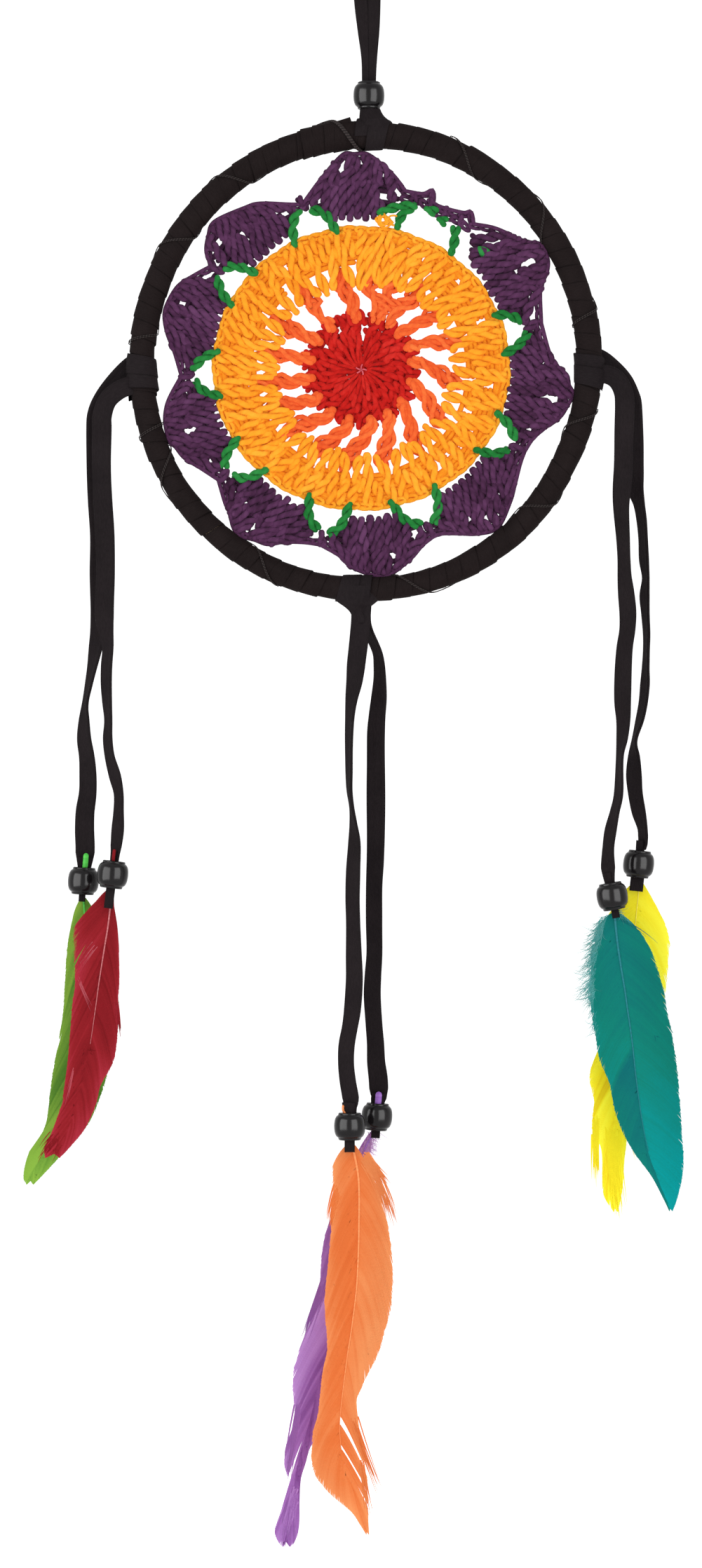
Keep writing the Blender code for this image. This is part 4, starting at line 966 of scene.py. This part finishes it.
def make_tail(colour):
    """The ribbon's cut end below the bead, and the gathered ribbon just above it."""
    end, width = BEADS[colour][3:]
    turn = RIBBONS[colour][1][-1][2]
    tail = Gather()
    half = BEAD_HEIGHT / 2
    line = evenly(np.array([leant(colour, height, depth) for height, depth in
                            ((half - 1.0, -0.6), (0.0, -1.0), (-half, -1.4), (end, -1.5))]), 0.6)
    tail.strip(line, soft_section(width, RIBBON_THICKNESS, 0.2), 6.0)
    above = evenly(np.array([leant(colour, half + height) for height in (3.4, 1.2, -1.0)]), 0.4)
    fullness = 1.0 if abs(turn) < 40 else 0.72
    tail.strip(above, soft_section(4.4, 3.0, 0.3), turn, fullness * np.linspace(1.1, 0.95, len(above)))
    tail.piece("tail_" + colour + "_ribbon", [LOOKS["ribbon"]], "drop_" + colour, ["tail_" + colour],
               "ribbon")


# Crochet

def yarn(made, line, radius, shade=None, look=0):
    """One strand of yarn, of a tone of its own unless it is given one."""
    if shade is None:
        shade = np.clip(chance.normal(0.5, 0.16), 0.0, 1.0)
    made.strand(line, radius, shade=shade, look=look)


def post(made, line, strand, half_turn):
    """Two strands of yarn twisted round each other along a line, and close together at its start."""
    line = evenly(line, YARN_STEP)
    walked = walk(line) / MM
    strand = np.interp(walked, (0.0, walked[-1]), np.broadcast_to(strand, 2))
    side, face = frames(line)
    phase = chance.uniform(0, 2 * math.pi)
    opening = np.sqrt(np.clip(walked / PLY_OPENING, 0.08, 1.0))
    shade = np.clip(chance.normal(0.5, 0.14), 0.0, 1.0)
    for start in (0.0, math.pi):
        angle = (phase + start + math.pi * walked / half_turn)[:, None]
        off = (PLY_REACH * strand * opening)[:, None] * MM
        centre = line + off * (np.cos(angle) * side + 0.85 * np.sin(angle) * face)
        yarn(made, centre, strand, np.clip(shade + chance.normal(0, 0.06), 0, 1))


def chain(made, line, pitch, width, strand):
    """A chain of teardrop loops, each over the tail of the next."""
    line = evenly(line, pitch)
    side, face = frames(line)
    turn = np.linspace(0.0, 2 * math.pi, 13)
    for index in range(len(line) - 1):
        start, end = line[index], line[index + 1]
        forward = (end - start) * 1.3
        reach = (1 - np.cos(turn))[:, None] / 2
        across = (np.sin(turn) * (0.55 + 0.45 * np.sin(turn / 2)))[:, None] * (width - strand) / 2
        depth = (0.5 - reach) * 1.4
        yarn(made, start + forward * reach + (side[index] * across - face[index] * depth) * MM, strand)


def bent(*places):
    """A smooth line through (radius, degrees, depth) places on the mandala."""
    line = np.array([spot(*place) for place in places])
    return through(line, 6)


def backing(made, radius, strand, holes, ends=(0.0, 360.0)):
    """A hidden strand round the mandala, which closes the chinks between posts but not the holes. Its dark tone
    is painted shade in those chinks.
    """
    cuts = []
    for angle, inner, outer, width in holes:
        if inner - 0.5 * strand < radius < outer + 0.5 * strand:
            half = math.degrees((width / 2 + strand) / radius)
            start = ends[0] + (angle - half - ends[0]) % 360
            cuts.append((start, start + 2 * half))
    cuts.sort()
    starts = [ends[0]] + [min(end, ends[1]) for _, end in cuts]
    stops = [min(start, ends[1]) for start, _ in cuts] + [ends[1]]
    for first, last in zip(starts, stops):
        if last - first > 2.0:
            count = max(3, int(math.radians(last - first) * radius / 1.2))
            # Painted shade: the hidden strand takes the dark backing tone
            yarn(made, spot(radius, np.linspace(first, last, count + 1), BACKING_DEPTH), strand, BACKING_PAINTED_SHADE)


def clear_of(holes, degrees, inner, outer, half_width):
    """The angle, moved away from any hole that a post between these radii would cover."""
    for angle, low, high, width in holes:
        off = (degrees - angle + 180) % 360 - 180
        need = math.degrees((width / 2 + half_width) / ((low + high) / 2))
        if inner < high - 1.2 and outer > low + 1.2 and abs(off) < need:
            degrees += math.copysign(need, off) - off
    return degrees


def make_red_centre():
    """Rounds of slanted posts out from the middle, where the yarn is worn pink."""
    made = Gather()
    for radius in RED_BACKINGS:
        backing(made, radius, 0.85, RED_HOLES)
    for count, inner, outer, strand, slant, first, half_turn in RED_ROUNDS:
        for index in range(count):
            degrees = first + 360 * index / count + chance.normal(0, 0.8)
            degrees = clear_of(RED_HOLES, degrees, inner, outer, 1.25)
            low = inner + chance.normal(0, 0.25)
            high = outer + chance.normal(0, 0.25)
            lean = slant * chance.uniform(0.6, 1.3)
            route = bent((low, degrees - lean / 2, chance.normal(0, 0.1)), (high, degrees + lean / 2, 0.0))
            post(made, route, strand, half_turn)
    for index in range(5):
        turn = 72 * index + chance.normal(0, 8)
        worn = bent((0.2, turn, -1.0), (0.9, turn + 12, -1.5), (1.7, turn, -1.1))
        yarn(made, evenly(worn, 0.3), 0.24, 0.2, look=1)
    made.piece("red_crochet", [LOOKS["red_yarn"], LOOKS["worn_yarn"]], "hoop", ["mandala_red_centre"],
               "red_yarn")


def gap_sides(gap, radius):
    """The angles of the two sides of a gap between spokes. Beyond its rounded ends it is shut."""
    inner, start, outer, end, width = gap
    share = (radius - inner) / (outer - inner)
    middle = start + (end - start) * np.clip(share, -0.3, 1.3)
    half = np.degrees(width / 2 * np.sqrt(np.clip(1 - (2 * share - 1) ** 4, 0.0, 1.0)) / radius)
    return middle - half, middle + half


def rope(made, line, width):
    """Three strands that twist slowly round a core, filling a width that varies along the line."""
    walked = walk(line) / MM
    side, face = frames(line)
    reach = np.maximum(width / 2 - SPOKE_STRAND, 0.25)[:, None] * MM
    phase = chance.uniform(0, 2 * math.pi)
    for start in (0.0, 2 * math.pi / 3, 4 * math.pi / 3):
        angle = (phase + start + 2 * math.pi * walked / SPOKE_TWIST)[:, None]
        skip = chance.integers(0, 3)
        centre = line + reach * np.cos(angle) * side + 0.8 * MM * np.sin(angle) * face
        yarn(made, centre[skip:], SPOKE_STRAND)
    # The core lies behind the strands in a darker tone, which is painted shade in the gaps between them
    yarn(made, line - 0.5 * MM * face, np.clip(width / 2 - 0.6, 0.5, 1.5), 0.3)


def make_orange_spokes():
    """A spoke between each gap and the next, and the yarn that fills one gap at the upper right."""
    made = Gather()
    radius = np.arange(17.0, 34.8, 0.8)
    for index, gap in enumerate(SPOKE_GAPS):
        _, low = gap_sides(gap, radius)
        high, _ = gap_sides(SPOKE_GAPS[(index + 1) % len(SPOKE_GAPS)], radius)
        high = high + 360 * (index == len(SPOKE_GAPS) - 1)
        width = np.clip(np.radians(high - low) * radius, 1.8, 5.0 + np.clip(radius - 22, 0, 4) * 0.4)
        width *= np.interp(radius, (17.0, 19.0, 31.0, 34.8), (0.85, 1.0, 1.0, 0.5))
        depth = np.interp(radius, (17.0, 20.0, 25.0, 34.8), (-1.5, -0.9, 0.0, 0.5))
        rope(made, spot(radius, (low + high) / 2, depth), width)
    for reach, start, end in FILLED_GAP:
        post(made, spot(reach, np.linspace(start, end, 8), -0.6), 0.75, 6.0)
    made.piece("orange_crochet", [LOOKS["orange_yarn"]], "hoop", ["mandala_orange_spokes"], "orange_yarn")


def rim_radius(degrees):
    """The yellow round is wider than it is high, and it bulges beyond each lobe of posts."""
    degrees = np.asarray(degrees, float)
    return 47.9 + 1.1 * np.cos(np.radians(2 * degrees)) + 0.3 * np.cos(np.radians(18 * degrees + 60))


def make_yellow_round():
    """Three posts outside each gap between spokes, a round of finer posts, and a rim of chain stitch."""
    made = Gather()
    for index, (_, _, outer, middle, _) in enumerate(SPOKE_GAPS):
        before = (middle - SPOKE_GAPS[index - 1][3]) % 360 / 2
        after = (SPOKE_GAPS[(index + 1) % len(SPOKE_GAPS)][3] - middle) % 360 / 2
        for share in (-0.8, 0.0, 0.8):
            off = share * (after if share > 0 else before)
            depth = chance.normal(0, 0.15)
            spread = clear_of(YELLOW_HOLES, middle + off, 34.0, 41.0, 1.2)
            route = bent((outer + 0.7 + 1.7 * share**2, middle + 0.56 * off, depth - 0.4),
                         (33.0, middle + 0.8 * off, depth - 0.8),
                         (36.5, (middle + 0.94 * off + spread) / 2, depth), (41.0, spread, 0.2))
            post(made, route, (0.98, 1.04), 7.0)
        count = max(3, round((before + after) / 5.2))
        for number in range(count):
            degrees = middle - before + (before + after) * (number + 0.5) / count
            degrees = clear_of(YELLOW_HOLES, degrees, 38.6, 46.6, 1.2)
            lean = chance.choice((-1, 1)) * chance.uniform(0.5, 2.2)
            post(made, bent((38.4 + chance.normal(0, 0.8), degrees - lean, -0.2),
                            (rim_radius(degrees) - 0.8, degrees + lean, -0.1)), (1.04, 1.04), 5.0)
    for radius in YELLOW_BACKINGS:
        backing(made, radius, 0.9, YELLOW_HOLES)
    degrees = np.arange(0.0, 361.0, 1.5)
    rim = rim_radius(degrees)
    # Two hidden strands behind the rim, in a darker tone that is painted shade between the posts
    yarn(made, spot(rim - 2.4, degrees, BACKING_DEPTH), 0.9, 0.25)
    yarn(made, spot(rim - 1.0, degrees, BACKING_DEPTH), 0.9, 0.25)
    coarse = np.arange(0.0, 364.0, 3.0)
    chain(made, spot(rim_radius(coarse), coarse), 4.0, 2.7, 0.66)
    yarn(made, spot(rim + 0.5, degrees, 0.2), 0.75, 0.5)
    make_tuft(made)
    made.piece("yellow_crochet", [LOOKS["yellow_yarn"]], "hoop", ["mandala_yellow_round"], "yellow_yarn")


def make_tuft(made):
    """The knot where the yellow yarn was finished off."""
    for _ in range(9):
        radius, degrees = chance.normal((50.2, 80.2), (1.0, 1.4))
        wide, tall = chance.uniform(1.4, 3.2), chance.uniform(0.8, 2.2)
        turn = np.linspace(0, 1.6 * math.pi, 12) + chance.uniform(0, 2 * math.pi)
        loop = spot(radius + tall * np.cos(turn), degrees + wide * np.sin(turn),
                    -1.6 + 0.3 * np.cos(2 * turn))
        yarn(made, evenly(loop, 0.5), 0.34, chance.uniform(0.4, 0.9))


def make_green_legs():
    """A straight pair of legs to each valley between petals, and the odd ones beside the slack petal."""
    made = Gather()
    routes = list(SLACK_LEGS)
    for index, (outline, _) in enumerate(PETALS):
        valley = outline[0][0]
        if index in (SLACK_PETAL, SLACK_PETAL + 1):
            continue
        for side in (-1, 1):
            spread = chance.normal(0, 0.7)
            spreads = np.array(LEG_SPREAD) + spread * np.array((1.0, 0.5, 0.0))
            foot, middle, top = valley + side * spreads
            routes.append(((rim_radius(foot) - 0.6, foot), (LEG_RADII[0], middle),
                           (LEG_RADII[1] + chance.normal(0, 0.5), top)))
    for route in routes:
        depths = np.linspace(-1.2, -0.1, len(route))
        post(made, bent(*((*place, depth) for place, depth in zip(route, depths))), (0.88, 1.0), 4.4)
    made.piece("green_crochet", [LOOKS["green_yarn"]], "hoop", ["mandala_green_legs"], "green_yarn")


def make_purple_petals():
    """Fans of posts from the yellow rim that lean to each petal's tip, inside an edge of chain stitch."""
    made = Gather()
    for index, (outline, tip) in enumerate(PETALS):
        angles, radii = np.array(outline).T
        yarn(made, evenly(through(spot(radii - 0.8, angles, -0.2), 6), YARN_STEP), 0.72, 0.5)
        chain(made, through(spot(radii - 1.5, angles, 0.4), 6), 3.6, 2.3, 0.62)
        if index == SLACK_PETAL:
            make_slack_petal(made, outline)
            continue
        first, last = angles[0] + POST_SPACING, angles[-1] - POST_SPACING
        for radius in PETAL_BACKINGS:
            inside = angles[radii > radius + 2.2]
            if len(inside) > 1:
                flank = np.interp(radius, PETAL_FLANK[0], PETAL_FLANK[1])
                ends = max(inside[0], angles[0] + flank), min(inside[-1], angles[-1] - flank)
                backing(made, radius, 0.95, PETAL_HOLES, ends=ends)
        count = round((last - first) / POST_SPACING)
        for number in range(count + 1):
            share = number / count
            foot = first + (last - first) * share
            inward = min(foot - angles[0], angles[-1] - foot)
            base = max(rim_radius(foot) + 1.2, np.interp(inward, PETAL_FLANK[1][::-1], PETAL_FLANK[0][::-1]))
            base += abs(chance.normal(0, 0.6))
            end_angle = foot + (tip - foot) * TIP_PULL + chance.normal(0, 0.5)
            end_radius = np.interp(end_angle, angles, radii) - 1.5
            depth = chance.normal(0, 0.25)
            route = []
            for part in (0.0, 0.3, 0.58, 0.8, 1.0):
                radius = base + (end_radius - base) * part
                degrees = foot + (end_angle - foot) * part * (0.9 + 0.1 * part)
                route.append((radius, clear_of(PETAL_HOLES, degrees, radius - 3.0, radius + 3.0, 1.3), depth))
            if end_radius - base < TWO_ROWS:
                post(made, bent(*route), (0.98, 0.98), 4.4)
                continue
            post(made, bent(*route[:3]), (0.96, 1.02), 4.2)
            lean = chance.choice((-1.4, 1.4))
            radius, degrees, _ = route[2]
            post(made, bent((radius - 0.6, degrees + lean, -0.4), route[3], route[4]), (1.0, 0.96), 4.2)
        if index != SLACK_PETAL + 1:
            post(made, bent((57.0, angles[0] - 0.6, 0.3), (61.0, angles[0] + 0.6, 0.2)), 0.9, 5.0)
    made.piece("purple_crochet", [LOOKS["purple_yarn"]], "hoop", ["mandala_purple_petals"], "purple_yarn")


def make_slack_petal(made, outline):
    """The petal whose thread is loose: no more than a narrow arc of chain stitches."""
    angles, radii = np.array(outline).T
    chain(made, through(spot(np.minimum(radii, 63.0) - 3.4, angles, 0.6), 6), 3.4, 2.6, 0.7)
    for number, degrees in enumerate(np.arange(angles[0] + 3, angles[-1] - 2, 5.6)):
        post(made, bent((58.4 + number % 2, degrees, 0.2), (61.4, degrees + 1.5, 0.0)), 0.7, 5.0)


def make_lashings():
    """Doubled black thread that crosses the front of the hoop on a slant and runs on behind it."""
    for name, crossings in LASHINGS.items():
        made = Gather()
        turns, degrees = [], []
        for index, (inner, outer) in enumerate(crossings):
            turns += [180 + 360 * index, 360 + 360 * index]
            degrees += [inner, outer]
        turns += [turns[-1] + 120]
        degrees += [degrees[-1] + 0.5]
        fine = np.arange(turns[0] - 60, turns[-1] + 1, 10.0)
        place = np.interp(fine, turns, degrees)
        bulge = np.where((name == "top_left") & (place < THICK_LASHING_END), 0.8, 0.25)
        for off in (-0.26, 0.26):
            line = hoop_place(tube_radius(place) + bulge, np.radians(fine),
                              place + math.degrees(off / HOOP_MID))
            made.strand(line, np.where(bulge > 0.5, 0.45, 0.17), sides=6, facing=np.array((0.3, 1.0, 0.2)))
        made.piece("lashing_" + name + "_thread", [LOOKS["thread"]], "hoop", ["lashing_" + name], "thread")


# Feathers

class Vane:
    """A feather's outline, read at any share of its length."""

    def __init__(self, colour):
        self.colour = colour
        self.rows = through(FEATHERS[colour], 12)
        self.side = RIBBONS[colour][0]
        self.x, self.z = BEADS[colour][:2]
        height = self.rows[:, 0]
        self.share = (height[0] - height) / (height[0] - height[-1])
        self.length = height[0] - height[-1]

    def read(self, share):
        """Height, left edge, rachis and right edge."""
        share = np.clip(share, 0.0, 1.0)
        return [np.interp(share, self.share, self.rows[:, i]) for i in range(4)]

    def off_rachis(self, line):
        """How far to the side of the rachis each (x, height) of a line is."""
        return line[:, 0] - np.interp(-line[:, 1], -self.rows[:, 0], self.rows[:, 2])

    def place(self, x, height, off, lift):
        """Where a point of the vane is, curled across its width, and lifted to the front."""
        curl = self.side * off**2 / (2 * CURL_RADIUS)
        y = self.side * BEAD_DEPTH + QUILL_DEPTH + curl - lift
        return np.stack(np.broadcast_arrays(self.x + x, y, self.z + height + HOOP_Z), axis=-1) * MM


def make_feather(colour):
    """A whole feather on its bead: two vanes of barbs, the shaft, and the loose barbs."""
    vane = Vane(colour)
    made = Gather()
    for side in (-1, 1):
        make_vane(made, vane, side)
    make_shaft(made, vane)
    for row in FLUFF.get(colour, ()):
        make_fluff(made, vane, *row)
    for row in TUFTS[colour]:
        make_tuft_of_barbs(made, vane, *row)
    looks = [feather_look(colour + "_feather", *DYES[colour]), shaft_look(colour + "_shaft", *SHAFTS[colour])]
    made.piece("feather_" + colour + "_barbs", looks, "drop_" + colour, ["feather_" + colour],
               colour + "_feather")


def make_vane(made, vane, side):
    """One side's barbs, in clusters that each hold together and now and then part from the next."""
    habit = HABITS[vane.colour]
    tones = habit["left"] if side < 0 else habit["right"]
    spacing = BARB_SPACING / vane.length
    streaks = chance.normal(0.0, habit["streaks"], 60)
    root = 0.004
    while root < 0.985:
        size = chance.integers(8, 26)
        middle = root + size * spacing / 2
        parted = chance.random() < habit["parts"]
        draw = 0.8 if parted else 1.0
        trim = 1 - (0.07 if parted else 0.015) * chance.random()
        lift = chance.normal(0.0, 0.012)
        for _ in range(size):
            lag = habit["sweep"] * (0.35 + 0.65 * (1 - root)) * min(1.0, 0.25 + root * 4)
            target = min(middle + (root - middle) * draw + lag, 1.0)
            # The vane's tone down the rachis, which includes painted shade where the vane folds, plus random
            # streaks
            tone = np.interp(root, *np.transpose(tones)) + np.interp(root * 59, np.arange(60), streaks)
            missing = any(way == side and low < root < high for way, low, high in habit["slits"])
            if not missing:
                make_barb(made, vane, side, root, target, trim * (1 + 0.008 * chance.normal()), lift,
                          tone + chance.normal(0, 0.025))
            root += spacing
            if root > 0.985:
                break


def make_barb(made, vane, side, root, target, trim, lift, tone):
    """One barb as a thin blade, from the rachis at one share of the length out to the edge at another."""
    run = np.linspace(0.0, 1.0, 9)
    share = run[:, None]
    height0, _, rachis0, _ = vane.read(root)
    height1, left, rachis1, right = vane.read(target)
    reach = ((left if side < 0 else right) - rachis1) * trim
    mid_height, _, mid_rachis, _ = vane.read(root + (target - root) * 0.3)
    first, last = np.array((rachis0, height0)), np.array((rachis1 + reach, height1))
    control = np.array((mid_rachis + 0.55 * reach, mid_height))
    line = (1 - share) ** 2 * first + 2 * share * (1 - share) * control + share**2 * last
    off = vane.off_rachis(line)
    along = unit(np.gradient(line, axis=0))
    across = np.stack([-along[:, 1], along[:, 0]], axis=1) * BARB_WIDTH / 2 * (1 - 0.7 * share**5)
    raised = lift * run + 0.01 * chance.random()
    tilted = ((line - across, raised + 0.012), (line + across, raised - 0.012))
    sides = [vane.place(*side.T, off, height) for side, height in tilted]
    # A little lighter towards the tip; the edge term is painted light, as if shining through the thin barb ends
    shade = np.clip(tone + 0.1 * (share - 0.5) + HABITS[vane.colour]["edge"] * share**4, 0, 1)
    made.grid(np.stack(sides, axis=1), closed=False, shade=shade, along=run * abs(reach) * 1.6)


def make_shaft(made, vane):
    """The stem from the quill's tip above the bead down into the vane."""
    colour = vane.colour
    half = BEAD_HEIGHT / 2
    x, rise, tip_radius, depth = QUILL_TIPS[colour]
    bends = ((half + rise, depth, x), (half + 0.4 * rise, depth, x), (half - 0.8, depth * 0.7, 0.6 * x),
             (0.0, 0.4, 0.0), (-half, QUILL_DEPTH, 0.0))
    upper = [leant(colour, height, y) + np.array((aside, 0.0, 0.0)) * MM for height, y, aside in bends]
    shown, thickness = HABITS[colour]["rachis"]
    heights, _, rachis, _ = vane.read(np.linspace(0.03, shown, 14))
    lower = vane.place(rachis, heights, 0.0, 0.12)
    made.strand(evenly(through(upper), 0.6), tip_radius, shade=0.3, look=int(colour != "red"))
    line = evenly(through(np.vstack([upper[-2:], lower])), 1.0)
    radius = np.interp(walk(line) / walk(line)[-1], (0.0, 0.06, 1.0), (tip_radius, thickness, 0.08))
    made.strand(line, radius, flat=0.6, look=1)


def make_wisp(made, vane, start, heading, length, bend, width, shade, pale):
    """One loose barb from a place on the feather, at a heading in degrees from straight down to +X."""
    run = np.linspace(0.0, 1.0, 8)
    turn = np.radians(heading + bend * run)
    steps = np.stack([np.sin(turn), -np.cos(turn)], axis=1) * length / 7
    line = np.array(start) + np.vstack([[(0.0, 0.0)], np.cumsum(steps[:-1], axis=0)])
    across = np.stack([np.cos(turn), np.sin(turn)], axis=1) * (width * (1 - 0.85 * run**2))[:, None] / 2
    off = vane.off_rachis(line)
    sides = [vane.place(*side.T, off, lift) for side, lift in ((line - across, 0.1), (line + across, 0.0))]
    made.grid(np.stack(sides, axis=1), closed=False, shade=shade, pale=pale)


def make_fluff(made, vane, top, bottom, column, count, heading, length, pale):
    """Short down along one edge of a feather, between two heights."""
    for _ in range(count):
        height = chance.uniform(bottom, top)
        edge = vane.read((vane.rows[0, 0] - height) / vane.length)[column]
        inward = chance.uniform(0.0, 2.0) * (1 if column == 1 else -1)
        make_wisp(made, vane, (edge + inward, height), heading + chance.normal(0, 16),
                  length * chance.uniform(0.5, 1.2), chance.normal(0, 40), 0.16, chance.uniform(0.5, 0.9),
                  pale * chance.uniform(0.5, 1.0))


def make_tuft_of_barbs(made, vane, count, place, heading, length, bend, scatter, width, shade, pale):
    """Loose barbs that start round one place and keep nearly to one heading."""
    for _ in range(count):
        start = np.array(place) + chance.normal(0, 1, 2) * scatter[:2]
        way = heading + chance.normal(0, scatter[2])
        reach = length * chance.uniform(0.7, 1.1)
        varied = chance.uniform(0.35, 0.7)
        make_wisp(made, vane, start, way, reach, bend, width, varied if shade is None else shade, pale)


make_camera()
make_beads()
make_loop()
for colour_name in RIBBONS:
    make_ribbon(colour_name)
make_studio()
make_hoop()
make_ties()
for colour_name in RIBBONS:
    make_tail(colour_name)
    make_feather(colour_name)
make_red_centre()
make_orange_spokes()
make_yellow_round()
make_green_legs()
make_purple_petals()
make_lashings()
